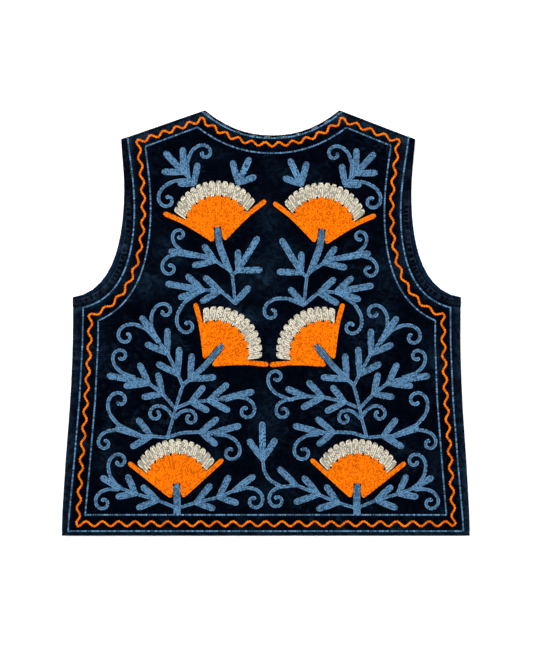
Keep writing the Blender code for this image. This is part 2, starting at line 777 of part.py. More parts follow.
def fan_outlines(origin, axis, half_angle, bud, lobes, flare, size):
    """The lobed fan with its two side bars, open at the root round the bud."""
    outline = []
    pitch = 2 * half_angle / lobes
    rim = FAN_RADIUS * size
    bar = BAR_LENGTH * size
    for lobe in range(lobes):
        for share, depth in ((0.0, LOBE_DEPTH), (0.28, 0.0), (0.72, 0.0)):
            angle = -half_angle + pitch * (lobe + share)
            outline.append(polar(origin, axis, angle, rim - FAN_DROP * droop(angle) - depth))
    outline.append(polar(origin, axis, half_angle, rim - FAN_DROP * droop(half_angle) - LOBE_DEPTH))
    clear = BUD_HALF + 2 * GAP
    tip = bud + 2 * GAP
    nose = math.degrees(math.asin(clear / tip))
    for angle in (half_angle - flare, 32, 20, nose, -nose, -20, -32, flare - half_angle):
        radius = max(FAN_ROOT, min(clear / math.sin(math.radians(abs(angle))), tip))
        outline.append(polar(origin, axis, angle, radius))
    bars = []
    shares = (0, 0.3, 0.65, 1) if flare else (0, 1)
    radii = [FAN_START + (bar - FAN_START) * share for share in shares]
    for turn in (-1, 1):
        path = []
        for radius in radii:
            angle = half_angle - flare * (1 - (radius / bar) ** 2)
            path.append(polar(origin, axis, turn * angle, radius))
        bars.append(strip_outline(path, BAR_HALVES, heel=True))
    return [outline] + bars


def petal_outline(origin, axis, half_angle, lobes, petals, flare, size):
    """The row of petals between the bars, just outside the fan's lobes."""
    rim = FAN_RADIUS * size
    inner = rim - FAN_DROP
    lean = flare * (1 - (inner / BAR_LENGTH / size) ** 2)
    edge = half_angle - math.degrees((BAR_HALF + 2 * GAP) / inner) - lean
    pitch = 2 * edge / petals
    outline = []
    for petal in range(petals):
        for share, depth in ((0.0, PETAL_DEPTH), (0.25, 0.0), (0.75, 0.0)):
            angle = -edge + pitch * (petal + share)
            outline.append(polar(origin, axis, angle, PETAL_TIP * size - PETAL_DROP * droop(angle) - depth))
    outline.append(polar(origin, axis, edge, PETAL_TIP * size - PETAL_DROP * droop(edge) - PETAL_DEPTH))
    for i in range(lobes + 1):
        angle = edge - 2 * edge * i / lobes
        outline.append(polar(origin, axis, angle, rim - FAN_DROP * droop(angle) + 2 * GAP))
    return outline


def shift_at(height):
    """How far outward and up the right half's pattern lies off the mirror image at a height."""
    for (y0, *start), (y1, *end) in zip(RIGHT_SHIFT, RIGHT_SHIFT[1:]):
        if height <= y1:
            share = max(height - y0, 0) / (y1 - y0)
            return [a + (b - a) * share for a, b in zip(start, end)]
    return RIGHT_SHIFT[-1][1:]


def to_garment(x, y, sign):
    """A place of a half's pattern, in metres outward and up, on the garment."""
    outward, up = shift_at(y) if sign > 0 else (0.0, 0.0)
    return Vector((MOTIF_AXIS + sign * x + outward, y + up))


def fans(group, surface):
    """Three fans and their petals on each half."""
    for side, sign in (("left", -1), ("right", 1)):
        for name, x, y, direction, half_angle, bud, lobes, petals, flare, size in FANS:
            origin = to_garment(x, y, sign)
            axis = direction if sign > 0 else 180 - direction
            mesh = flat_union(fan_outlines(origin, axis, half_angle, bud, lobes, flare, size), FAN_HEIGHT)
            lay_on(mesh, surface)
            finish_object(f"fan_{name}_{side}", mesh, "orange_thread", group)
            petal_row = petal_outline(origin, axis, half_angle, lobes, petals, flare, size)
            mesh = flat_union([petal_row], PETAL_HEIGHT)
            lay_on(mesh, surface)
            finish_object(f"petals_{name}_{side}", mesh, "cream_thread", group)


def curl_path(root, eye, ring, turn):
    """A tendril that leaves its root and winds in round its eye."""
    reach = (root - eye).length
    start = math.atan2(root.y - eye.y, root.x - eye.x)
    path = []
    for i in range(CURL_STEPS + 1):
        wound = CURL_WIND * (i / CURL_STEPS) ** 1.15
        share = wound / CURL_WIND
        radius = ring - (ring - CURL_EYE) * share**0.9 + (reach - ring) * math.exp(-wound / 45)
        angle = start + turn * math.radians(wound)
        path.append(eye + Vector((math.cos(angle), math.sin(angle))) * radius)
    return path


def vine_outlines(name, side, sign):
    """Stems, leaves and curls of one vine as overlapping outlines."""
    stems, curls = (list(part) for part in VINES[name])
    if side == "right":
        for index, stem in RIGHT_STEMS.get(name, {}).items():
            stems[index] = stem
        for index, extra in sorted(RIGHT_CURLS.get(name, {}).items()):
            curls[index:index + 1] = extra
    even = ((0.0, STEM_HALF), (1.0, STEM_HALF))
    outlines = []
    if name in STALKS:
        index, below, halves = STALKS[name]
        _, x, y, direction, _, bud, *_ = FANS[index]
        root = to_garment(x, y, sign)
        axis = direction if sign > 0 else 180 - direction
        path = [to_garment(x / 1000, y / 1000, sign) for x, y in below]
        outlines.append(strip_outline(path + [root, polar(root, axis, 0, bud)], halves))
    for stem in stems:
        path = [to_garment(x / 1000, y / 1000, sign) for x, y, _ in stem]
        outlines.append(strip_outline(path, even, False))
        for point, (_, _, leaves) in zip(path, stem):
            for direction, length in leaves:
                axis = direction if sign > 0 else 180 - direction
                outlines.append(strip_outline([point, polar(point, axis, 0, length / 1000)], LEAF_HALVES))
    for root, eye, ring, turn in curls:
        start = to_garment(root[0] / 1000, root[1] / 1000, sign)
        centre = to_garment(eye[0] / 1000, eye[1] / 1000, sign)
        outlines.append(strip_outline(curl_path(start, centre, ring / 1000, turn * sign), even))
    return outlines


def vines(group, surface):
    """The vines of both halves, with the bud that each fan grows from."""
    for side, sign in (("left", -1), ("right", 1)):
        for name in VINES:
            mesh = flat_union(vine_outlines(name, side, sign), VINE_HEIGHT)
            lay_on(mesh, surface)
            finish_object(f"{name}_{side}", mesh, "blue_thread", group)


def main():
    """Build the vest."""
    clear_scene()
    group = new_collection()
    fronts(group)
    armhole_bands(group)
    panel = back_panel(group)
    neck_binding(group)
    bpy.context.view_layer.update()
    surface = surface_of(panel)
    border_rows(group, surface)
    wave_row(group, surface)
    fans(group, surface)
    vines(group, surface)


main()
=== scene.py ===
"""Embroidered folk vest, laid flat with its back upwards: cloth, embroidery and stage.

Metres, +Z up. The vest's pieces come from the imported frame. The embroidery is
drawn from the middle of the hem, +Y to the neck, and is laid on the back, half
of the vest's length lower.
"""
import math
from collections import namedtuple

import bmesh
import bpy
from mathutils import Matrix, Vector
from mathutils.bvhtree import BVHTree
from mathutils.kdtree import KDTree


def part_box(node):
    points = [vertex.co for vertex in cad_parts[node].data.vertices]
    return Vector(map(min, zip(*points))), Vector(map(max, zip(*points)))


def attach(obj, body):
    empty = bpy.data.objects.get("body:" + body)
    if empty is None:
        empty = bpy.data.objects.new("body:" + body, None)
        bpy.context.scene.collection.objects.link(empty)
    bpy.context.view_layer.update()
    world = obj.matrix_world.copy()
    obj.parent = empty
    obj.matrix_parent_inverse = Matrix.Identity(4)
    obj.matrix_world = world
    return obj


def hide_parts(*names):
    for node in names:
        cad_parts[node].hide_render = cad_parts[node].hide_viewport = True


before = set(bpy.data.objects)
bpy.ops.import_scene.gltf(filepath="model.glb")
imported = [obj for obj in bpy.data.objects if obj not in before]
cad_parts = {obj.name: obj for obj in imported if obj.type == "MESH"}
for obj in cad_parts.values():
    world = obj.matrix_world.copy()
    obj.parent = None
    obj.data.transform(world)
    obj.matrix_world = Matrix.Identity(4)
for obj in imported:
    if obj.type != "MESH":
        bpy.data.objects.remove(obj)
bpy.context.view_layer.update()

bl_info = {
    "name": "Embroidered folk vest",
    "version": (1, 0, 0),
    "blender": (4, 5, 0),
    "location": "3D View > Sidebar > Folk Vest",
    "description": "Velvet vest with chain-stitched flowers, laid flat with its back upwards",
    "category": "Object",
}

# The garment's outline, as the solids have it
LENGTH = 0.525
TIP_HEIGHT = 0.489
LEAN = 0.003
LEAN_POWER = 1.5
NECK_POINTS = (-0.075, 0.091)
NECK_DEPTH = 0.031
NECK_FULLNESS = 2.2
NECK_STEPS = 14
SIDE = (
    (0.000, 0.2518),
    (0.022, 0.2514),
    (0.091, 0.2473),
    (0.170, 0.2415),
    (0.239, 0.2388),
    (0.280, 0.2390),
)
BACK_ARMHOLE = (
    (0.2395, 0.2925), (0.186, 0.296), (0.1757, 0.352), (0.1757, 0.405),
    (0.1757, 0.437), (0.180, 0.462), (0.1815, TIP_HEIGHT),
)
HOLE_STEPS = (39, 12)
GAP = 0.0003
BAND_WIDTHS = (0.0107, 0.0101, 0.0068)
BINDING_RADIUS = 0.0009
MERGE = 0.00002

# Corners of the moved outline: how far edges run out, in insets, and what still counts as parallel or met
RUN_OUT = 4
PARALLEL = 1e-12
AT_END = 1e-6

# Insets of the border rows from each edge: row, hem, side, armhole, shoulder, neck.
# Three numbers are the insets at an edge's start, middle and end, going up
BORDER_ROWS = {
    "outer": (0.0060, (0.0078, 0.0113, 0.0130), (0.0130, 0.0118, 0.0086), 0.0010, 0.0030),
    "wave": (0.0150, (0.0200, 0.0198, 0.0225), (0.0252, 0.0228, 0.0210), 0.0100, 0.0115),
    "inner": (0.0260, (0.0275, 0.0308, 0.0315), (0.0345, 0.0318, 0.0290), (0.0190, 0.0178, 0.0168), 0.0223),
}
EDGE_KINDS = ("hem", "side", "armhole", "shoulder", "neck", "shoulder", "armhole", "side")
WAVE_PITCH = {"hem": 0.0205, "side": 0.0199, "armhole": 0.0200, "shoulder": 0.0170, "neck": 0.0175}
WAVE_SWING = {"hem": 0.0030, "side": 0.0023, "armhole": 0.0022, "shoulder": 0.0026, "neck": 0.0025}

# The motifs mirror about an axis. The right half's are a little off the mirror
# image: height, how far outward, how far up
MOTIF_AXIS = 0.0028
RIGHT_SHIFT = (
    (0.000, -0.0015, 0.0),
    (0.040, -0.0027, 0.0),
    (0.135, -0.0022, 0.0),
    (0.190, 0.0008, 0.0),
    (0.208, 0.0026, -0.0003),
    (0.300, 0.0038, -0.0023),
    (0.350, 0.0040, -0.0026),
    (0.440, 0.0040, -0.0014),
)

# Fans: name, outward, height, direction, half angle, bud length, lobes, petals,
# by how many degrees the bars curve out, and its size for the radii
Fan = namedtuple("Fan", "name x y direction half_angle bud lobes petals flare size")
FANS = (
    Fan("top", 0.060, 0.3590, 83, 53.5, 0.022, 10, 15, 5, 1.03),
    Fan("middle", 0.077, 0.2105, 130, 49.5, 0.033, 9, 12, 5, 1.01),
    Fan("low", 0.112, 0.0428, 88, 49.5, 0.022, 9, 14, 0, 1.0),
)
FAN_RADIUS = 0.0595
FAN_DROP = 0.009
DROOP_ANGLE = 48
BAR_START = 0.0086
BAR_LENGTH = 0.0765
BAR_HALF = 0.0030
PETAL_TIP = 0.0768
PETAL_DROP = 0.0102
PETAL_GAP = 0.0004
PETAL_TUCK = 0.0048
PETAL_DIP = 0.0007
PETAL_DIP_RUN = 0.0010
PETAL_FULLNESS = 0.96
BUD_HALF = 0.0042

# Rows of a fan. Nested loops of a lobe: share of its half width, radius where
# they start. Short rows between lobes: least start, latest start, end
LOBE_LOOPS = ((0.80, 0.029), (0.40, 0.038))
MIDDLE_START = 0.011
BETWEEN_ROWS = (0.017, 0.027, 0.030)
BAR_STEPS = 12
BAR_HALVES = ((0, BAR_HALF * 0.9), (0.2, BAR_HALF), (1, BAR_HALF))

# Where a fan's rows keep clear: least sine off the axis, and rooms as shares of the spacing
LEAST_SINE = 0.001
LEG_ROOM = 0.45
MIDDLE_REACH = 0.3

# Widths of the vines' stems, leaves and curls, and how the curls wind
STEM_HALVES = ((0.0, 0.0022), (1.0, 0.0022))
LEAF_HALVES = ((0.0, 0.0031), (0.45, 0.0042), (1.0, 0.0041))
CURL_HALVES = ((0.0, 0.0022), (0.9, 0.0022), (0.97, 0.0026), (1.0, 0.0026))
CURL_WIND = 465
CURL_EYE = 0.0027
CURL_STEPS = 60
CURL_EASE = 1.15
CURL_CLOSING = 0.9
CURL_LEAD = 45
STEM_STEPS = 6

# Steps along a filling row and round its tip, steps by which a row clears the
# fans, points that a row left over must pass, and the room that a row needs, as
# shares of the spacing, to be worked at all and to be worked as a loop
ROW_STEP = 0.0015
TIP_STEPS = 8
CLEAR_STEP = 0.001
LEAST_RUN = 3
LEAST_ROOM = -0.3
LOOP_ROOM = 0.38

# Stalks that carry the buds: fan, points below it in millimetres, half widths
STALKS = {
    "upper_vine": (0, ((44, 322), (52, 338)),
                   ((0.0, 0.0020), (0.35, 0.0044), (0.62, 0.0042), (1.0, 0.0039))),
    "lower_vine": (1, ((94, 195),), ((0.0, 0.0034), (0.5, 0.0037), (1.0, 0.0040))),
    "hem_spray": (2, ((112, 27.6),), ((0.0, 0.0044), (0.6, 0.0044), (1.0, 0.0042))),
}

# Each vine of a half, in millimetres outward from the motif axis and up from
# the hem. Stems: points of a stem, each with its leaves as direction, length.
# Curls: root, eye, radius of the ring, turn (1 is anticlockwise).
VINES = {
    "shoulder_sprig": (
        (
            ((91, 434.2, ((0, 20), (100, 26))), (96, 440, ()), (104, 448, ((2, 27), (47, 35), (88, 31)))),
        ),
        (
            ((96, 438), (124, 414), 13, -1),
            ((97, 439), (78, 472), 12, 1),
        ),
    ),
    "neck_sprig": (
        (
            ((37, 434.6, ((76, 29), (115, 35), (159, 24))), (38, 436, ())),
        ),
        (),
    ),
    "upper_vine": (
        (
            ((44, 322, ()), (42, 303, ()), (41, 287, ((132, 28),))),
            ((44, 322, ()), (37, 327, ((90, 26), (121, 49), (178, 30)))),
            ((47, 327, ()), (65, 339, ((53, 25), (-12, 29))), (77, 344, ((9, 46),))),
            ((41, 287, ()), (59, 302, ((42, 27), (-30, 28))), (80, 303, ((42, 28), (10, 47), (-18, 32)))),
        ),
        (
            ((89, 347), (109, 371), 9, 1),
            ((96, 345), (121, 330), 12, -1),
            ((82, 302), (99, 259), 12, -1),
        ),
    ),
    "lower_vine": (
        (
            ((124, 121.3, ()), (117, 145, ()), (114, 157, ()), (105, 185, ()),
             (96, 193, ((94, 32), (175, 32)))),
            ((105, 185, ()), (111, 199, ((93, 34), (28, 30))), (124, 225, ((90, 31), (24, 30))),
             (135, 240, ((55, 38),))),
            ((114, 157, ()), (130, 175, ((77, 27), (-9, 26))), (147, 188, ((64, 28), (-6, 31))),
             (156, 191, ((9, 43),))),
            ((114, 157, ()), (95, 165, ((130, 26), (-153, 25))), (73, 167, ((139, 32), (-153, 29))),
             (57, 169, ((167, 41),))),
            ((124, 121.3, ()), (106, 127, ()), (83, 128, ((141, 28), (-141, 26))), (70, 127, ((166, 38),))),
            ((124, 121.3, ()), (144, 123, ((52, 28), (-29, 29))), (157, 123, ((20, 33),))),
        ),
        (
            ((136, 241), (127, 277), 12, 1),
            ((136, 239), (175, 246), 14, -1),
            ((165, 196), (181, 222), 11, 1),
            ((52, 167), (27, 154), 14, 1),
            ((117, 146), (138, 150), 11, -1),
            ((115, 145), (96, 145), 10, 1),
            ((65, 125), (46, 103), 14, 1),
            ((163, 127), (183, 167), 15, 1),
            ((170, 126), (201, 114), 10, -1),
        ),
    ),
    "hem_spray": (
        (
            ((112, 34, ()), (136, 44, ((42, 27), (-21, 28))), (163, 52, ((65, 26), (-9, 25))),
             (182, 59, ((30, 28),))),
            ((112, 34, ()), (89, 41, ((130, 30), (-162, 25))), (61, 48, ((117, 30), (-162, 26))),
             (42, 56, ((144, 32),))),
        ),
        (
            ((185, 61), (183, 92), 12, 1),
            ((185, 57), (203, 41), 12, -1),
            ((38, 56), (17, 43), 14, 1),
        ),
    ),
}

# The right half's own stretches, in place of the stem or curl with their number
RIGHT_STEMS = {
    "lower_vine": {
        3: ((114, 157, ()), (95, 165, ((129, 26), (-153, 27))), (68, 171, ((134, 28), (-153, 30))),
            (47, 172, ((158, 27),)), (25, 168, ())),
    },
    "hem_spray": {
        1: ((112, 34, ()), (89, 41, ((126, 27), (-163, 28))), (65, 51, ((131, 30), (-162, 32))),
            (38, 62, ((136, 32),)), (20, 61, ()), (5, 69, ()), (-2, 80, ()),
            (-4, 94, ((126, 31), (91, 47), (58, 31)))),
    },
}
RIGHT_CURLS = {
    "upper_vine": {2: (((82, 302), (99, 259), 12, -1), ((40, 286), (1, 277), 12, 1))},
    "lower_vine": {3: (((26, 169), (9, 196), 11, -1), ((31, 168), (20, 153), 11, 1))},
    "hem_spray": {2: (((23, 61), (14, 44), 12, 1),)},
}

# Soft troughs and ridges in the laid back, in millimetres from the motif axis
# and the hem: from x, y, to x, y, width, rise
CREASES = (
    (-236, 30, -228, 150, 9, -0.5),
    (-222, 150, -216, 250, 8, 0.4),
    (-205, 268, -168, 300, 10, -0.5),
    (-150, 300, -120, 262, 12, 0.4),
    (-172, 392, -158, 470, 8, -0.4),
    (-140, 478, -60, 505, 6, 0.4),
    (-30, 452, 34, 446, 11, 0.5),
    (-20, 400, 2, 330, 13, -0.5),
    (-12, 300, 30, 255, 12, 0.45),
    (-60, 262, -8, 238, 9, -0.35),
    (6, 190, -3, 118, 10, 0.45),
    (-10, 70, 16, 22, 9, -0.35),
    (44, 486, 130, 470, 8, 0.35),
    (150, 400, 166, 322, 9, -0.45),
    (120, 410, 142, 352, 12, 0.4),
    (168, 300, 214, 262, 10, 0.5),
    (214, 240, 222, 150, 9, -0.45),
    (236, 130, 242, 26, 8, 0.4),
    (-200, 62, -206, 140, 12, 0.35),
    (196, 96, 204, 190, 12, -0.3),
    (-110, 98, -60, 90, 10, -0.3),
    (60, 92, 118, 100, 11, 0.35),
)

# Patches of painted sheen, lighter where the velvet's nap would catch the light: x, y in millimetres, reach
# across, reach up, strength
PAINTED_SHEEN_PATCHES = (
    (-150, 310, 26, 14, 0.55),
    (-128, 352, 16, 20, 0.40),
    (-8, 320, 26, 18, 0.60),
    (18, 352, 20, 14, 0.45),
    (0, 392, 14, 26, 0.35),
    (-26, 268, 30, 12, 0.50),
    (26, 446, 26, 9, 0.40),
    (-70, 470, 20, 8, 0.30),
    (150, 330, 18, 24, 0.45),
    (132, 272, 22, 12, 0.40),
    (-204, 230, 12, 26, 0.35),
    (-196, 96, 14, 24, 0.35),
    (-2, 148, 18, 30, 0.40),
    (4, 52, 24, 14, 0.30),
    (206, 216, 12, 26, 0.40),
    (206, 84, 10, 26, 0.30),
    (70, 96, 26, 10, 0.30),
    (-78, 96, 24, 10, 0.30),
)

# Painted sheen along each edge, where the rolled edge would catch the light: its share, and how far in it
# reaches
PAINTED_EDGE_SHEEN = {"hem": (0.55, 0.0050), "side": (0.75, 0.0075), "armhole": (0.55, 0.0060),
              "shoulder": (0.95, 0.0110), "neck": (0.40, 0.0090)}

# What the camera sees, from the photograph's frame of 533 by 666
PHOTO_WIDTH = 533
PHOTO_HEIGHT = 666
PIXEL = 0.001235
VEST_IN_PHOTO = (265.75, 323.0)


def shift_at(height):
    """How far outward and up the right half's pattern lies off the mirror image at a height."""
    for (y0, *start), (y1, *end) in zip(RIGHT_SHIFT, RIGHT_SHIFT[1:]):
        if height <= y1:
            share = max(height - y0, 0) / (y1 - y0)
            return [a + (b - a) * share for a, b in zip(start, end)]
    return RIGHT_SHIFT[-1][1:]


def to_garment(x, y, sign):
    """A place of a half's pattern, in metres outward and up, on the garment."""
    outward, up = shift_at(y) if sign > 0 else (0.0, 0.0)
    return Vector((MOTIF_AXIS + sign * x + outward, y + up))


def lean(height):
    """How far the garment's centre line lies to the right at a height."""
    return LEAN * (max(height, 0) / TIP_HEIGHT) ** LEAN_POWER


def cubic(points, counts):
    """Points along joined cubic curves, each with its own count of steps."""
    out = [Vector(points[0])]
    for k, count in enumerate(counts):
        a, b, c, d = (Vector(p) for p in points[3 * k:3 * k + 4])
        for i in range(1, count + 1):
            t = i / count
            s = 1 - t
            out.append(a * s**3 + b * 3 * s * s * t + c * 3 * s * t * t + d * t**3)
    return out


def smooth_path(points, steps):
    """A rounded path through points, with a number of steps between each two."""
    if len(points) < 3:
        return resample(points, steps * (len(points) - 1))
    padded = [points[0] * 2 - points[1], *points, points[-1] * 2 - points[-2]]
    out = []
    for k in range(1, len(padded) - 2):
        a, b, c, d = padded[k - 1:k + 3]
        for i in range(steps):
            t = i / steps
            out.append(0.5 * (2 * b + (c - a) * t + (2 * a - 5 * b + 4 * c - d) * t**2
                              + (3 * b - a - 3 * c + d) * t**3))
    out.append(points[-1].copy())
    return out


def path_length(path):
    """Length of a path."""
    return sum((b - a).length for a, b in zip(path, path[1:]))


def resample(path, count):
    """Points at even distances along a path, ends included."""
    lengths = [0.0]
    for a, b in zip(path, path[1:]):
        lengths.append(lengths[-1] + (b - a).length)
    out = []
    k = 0
    for i in range(count + 1):
        target = lengths[-1] * i / count
        while k < len(path) - 2 and lengths[k + 1] < target:
            k += 1
        span = lengths[k + 1] - lengths[k] or 1
        out.append(path[k].lerp(path[k + 1], (target - lengths[k]) / span))
    return out


def outline_edges():
    """The eight edges of the outline, anticlockwise from the left end of the hem."""
    halves = []
    for sign, neck_x in ((1, NECK_POINTS[1]), (-1, NECK_POINTS[0])):
        side = [Vector((half, height)) for height, half in SIDE] + [Vector(BACK_ARMHOLE[0])]
        hole = cubic(BACK_ARMHOLE, HOLE_STEPS)
        shoulder = [hole[-1].copy(), Vector((sign * (neck_x - lean(LENGTH)), LENGTH))]
        runs = (side, hole, shoulder)
        halves.append([[Vector((sign * p.x + lean(p.y), p.y)) for p in run] for run in runs])
    right, left = halves
    start, end = right[2][1], left[2][1]
    neck = []
    for i in range(NECK_STEPS + 1):
        share = i / NECK_STEPS
        fall = NECK_DEPTH * (1 - abs(2 * share - 1) ** NECK_FULLNESS)
        neck.append(Vector((start.x + (end.x - start.x) * share, LENGTH - fall)))
    down = [run[::-1] for run in left[::-1]]
    return [[left[0][0], right[0][0]], *right, neck, *down]


def inset_at(inset, share):
    """An inset at a share of an edge's length: one number, or those at its start, middle and end."""
    if not isinstance(inset, tuple):
        return inset
    start, middle, end = inset
    near = start if share < 0.5 else end
    return middle + (near - middle) * (1 - 2 * min(share, 1 - share)) ** 2


def moved_path(path, inset):
    """A path moved to its left by an inset."""
    length = path_length(path)
    reached = 0.0
    out = []
    for i, point in enumerate(path):
        ahead = path[min(i + 1, len(path) - 1)]
        behind = path[max(i - 1, 0)]
        reached += (point - behind).length
        along = (ahead - behind).normalized()
        out.append(point + Vector((-along.y, along.x)) * inset_at(inset, min(reached / length, 1)))
    return out


def run_out_path(path, inset):
    """A path moved to its left by an inset, with its ends run out straight."""
    out = moved_path(path, inset)
    run_out = max(inset_at(inset, 0), inset_at(inset, 1), GAP) * RUN_OUT
    out[0] = out[0] + (out[0] - out[1]).normalized() * run_out
    out[-1] = out[-1] + (out[-1] - out[-2]).normalized() * run_out
    return out


def crossing(first, second):
    """Where the end of one path crosses the start of the next: indices and point."""
    for i in range(len(first) - 2, -1, -1):
        a, b = first[i], first[i + 1]
        for j in range(len(second) - 1):
            c, d = second[j], second[j + 1]
            ab, cd = b - a, d - c
            area = ab.x * cd.y - ab.y * cd.x
            if abs(area) < PARALLEL:
                continue
            ac = c - a
            s = (ac.x * cd.y - ac.y * cd.x) / area
            t = (ac.x * ab.y - ac.y * ab.x) / area
            if -AT_END <= s <= 1 + AT_END and -AT_END <= t <= 1 + AT_END:
                return i, j, a + ab * s
    raise ValueError("border rows do not meet at a corner")


def border(insets):
    """The outline's eight edges, each moved in by its inset and cut at the corners."""
    hem, side, hole, shoulder, neck = insets
    down = [inset[::-1] if isinstance(inset, tuple) else inset for inset in (shoulder, hole, side)]
    order = (hem, side, hole, shoulder, neck, *down)
    runs = [run_out_path(edge, inset) for edge, inset in zip(outline_edges(), order)]
    corners = [crossing(runs[k - 1], runs[k]) for k in range(len(runs))]
    cut = []
    for k, run in enumerate(runs):
        first = corners[k]
        last = corners[(k + 1) % len(runs)]
        cut.append([first[2]] + run[first[1] + 1:last[0] + 1] + [last[2]])
    return cut


def polar(origin, axis, angle, radius):
    """A point at an angle in degrees from an axis direction in degrees."""
    turn = math.radians(axis + angle)
    return origin + Vector((math.cos(turn), math.sin(turn))) * radius


def droop(angle):
    """Share of a fan's drop in radius at an angle off its axis."""
    return (angle / DROOP_ANGLE) ** 2


def half_at(halves, share):
    """Half width at a share of a length, from pairs of share and half width."""
    for (s0, h0), (s1, h1) in zip(halves, halves[1:]):
        if share <= s1:
            t = (share - s0) / (s1 - s0)
            return h0 + (h1 - h0) * t * t * (3 - 2 * t)
    return halves[-1][1]


def filled_rows(path, halves, spacing, round_root=False, centre=True):
    """Nested rows that fill a round-tipped shape along a path, each up one side and down the other.

    The root may be round too, and a last single row may run down the centre.
    """
    length = path_length(path)
    root_half, tip_half = halves[0][1], halves[-1][1]
    steps = max(8, round(length / ROW_STEP))
    fine = resample(path, steps)
    ahead = (fine[-1] - fine[-3]).normalized()
    out = (fine[0] - fine[2]).normalized()
    first = root_half / length if round_root else 0
    last = 1 - tip_half / length
    rows = []
    inset = spacing / 2
    widest = max(half for _, half in halves)
    while widest - inset > LEAST_ROOM * spacing:
        up, down = [], []
        for i, point in enumerate(fine):
            share = i / steps
            room = half_at(halves, share) - inset
            if share < first or share > last or room < LEAST_ROOM * spacing:
                continue
            along = (fine[min(i + 1, steps)] - fine[max(i - 1, 0)]).normalized()
            single = room < LOOP_ROOM * spacing
            aside = Vector((-along.y, along.x)) * (0 if single else room)
            up.append(point + aside)
            if not single:
                down.append(point - aside)
        if len(up) > 1 and tip_half - inset > LOOP_ROOM * spacing:
            row = up + tip_arc(fine[-1] - ahead * tip_half, ahead, tip_half - inset) + down[::-1]
            if round_root and root_half - inset > LOOP_ROOM * spacing:
                row += tip_arc(fine[0] - out * root_half, out, root_half - inset) + row[:1]
            rows.append(row)
        elif len(up) > 1 and centre:
            rows.append(up)
        inset += spacing
    return rows


def tip_arc(centre, ahead, reach):
    """Half a turn round a tip, from its left side to its right."""
    aside = Vector((-ahead.y, ahead.x))
    turns = [math.pi * k / TIP_STEPS for k in range(TIP_STEPS + 1)]
    return [centre + aside * reach * math.cos(turn) + ahead * reach * math.sin(turn) for turn in turns]


def curl_path(root, eye, ring, turn):
    """A tendril that leaves its root and winds in round its eye."""
    reach = (root - eye).length
    start = math.atan2(root.y - eye.y, root.x - eye.x)
    path = []
    for i in range(CURL_STEPS + 1):
        wound = CURL_WIND * (i / CURL_STEPS) ** CURL_EASE
        share = wound / CURL_WIND
        lead = (reach - ring) * math.exp(-wound / CURL_LEAD)
        radius = ring - (ring - CURL_EYE) * share**CURL_CLOSING + lead
        angle = start + turn * math.radians(wound)
        path.append(eye + Vector((math.cos(angle), math.sin(angle))) * radius)
    return path


def fan_place(fan, sign):
    """Root and axis direction of a fan on one half."""
    return to_garment(fan.x, fan.y, sign), fan.direction if sign > 0 else 180 - fan.direction


def turn_off(away, axis):
    """The angle in degrees from an axis direction to a direction, between -180 and 180."""
    return (math.degrees(math.atan2(away.y, away.x)) - axis + 180) % 360 - 180


def bowed_in(flare, radius, size):
    """By how many degrees a fan's side bar bows in at a radius."""
    return flare * (1 - (radius / BAR_LENGTH / size) ** 2)


def in_a_fan(point, fans):
    """Whether a place lies on one of the fans or its petals."""
    for origin, axis, half_angle, size in fans:
        away = point - origin
        turn = turn_off(away, axis)
        if abs(turn) < half_angle and BAR_START < away.length < PETAL_TIP * size - PETAL_DROP * droop(turn):
            return True
    return False


def vine_rows(name, side, sign, spacing):
    """Rows of a vine's stems, leaves, curls and stalk."""
    stems, curls = (list(part) for part in VINES[name])
    if side == "right":
        for index, stem in RIGHT_STEMS.get(name, {}).items():
            stems[index] = stem
        for index, extra in sorted(RIGHT_CURLS.get(name, {}).items()):
            curls[index:index + 1] = extra
    rows = []
    for stem in stems:
        points = [to_garment(x / 1000, y / 1000, sign) for x, y, _ in stem]
        rows += filled_rows(smooth_path(points, STEM_STEPS), STEM_HALVES, spacing)
        for point, (_, _, leaves) in zip(points, stem):
            for direction, length in leaves:
                axis = direction if sign > 0 else 180 - direction
                leaf = [point, polar(point, axis, 0, length / 1000)]
                rows += filled_rows(leaf, LEAF_HALVES, spacing)
    for root, eye, ring, turn in curls:
        start = to_garment(root[0] / 1000, root[1] / 1000, sign)
        centre = to_garment(eye[0] / 1000, eye[1] / 1000, sign)
        path = curl_path(start, centre, ring / 1000, turn * sign)
        rows += filled_rows(path, CURL_HALVES, spacing)
    places = [(*fan_place(fan, sign), fan.half_angle, fan.size) for fan in FANS]
    kept = []
    for row in rows:
        run = []
        for point in resample(row, max(1, round(path_length(row) / CLEAR_STEP))):
            if in_a_fan(point, places):
                kept.append(run)
                run = []
            else:
                run.append(point)
        kept.append(run)
    kept = [run for run in kept if len(run) > LEAST_RUN]
    if name in STALKS:
        index, below, halves = STALKS[name]
        root, axis = fan_place(FANS[index], sign)
        path = [to_garment(x / 1000, y / 1000, sign) for x, y in below]
        path += [root, polar(root, axis, 0, FANS[index].bud)]
        kept += filled_rows(smooth_path(path, STEM_STEPS), halves, spacing)
    return kept


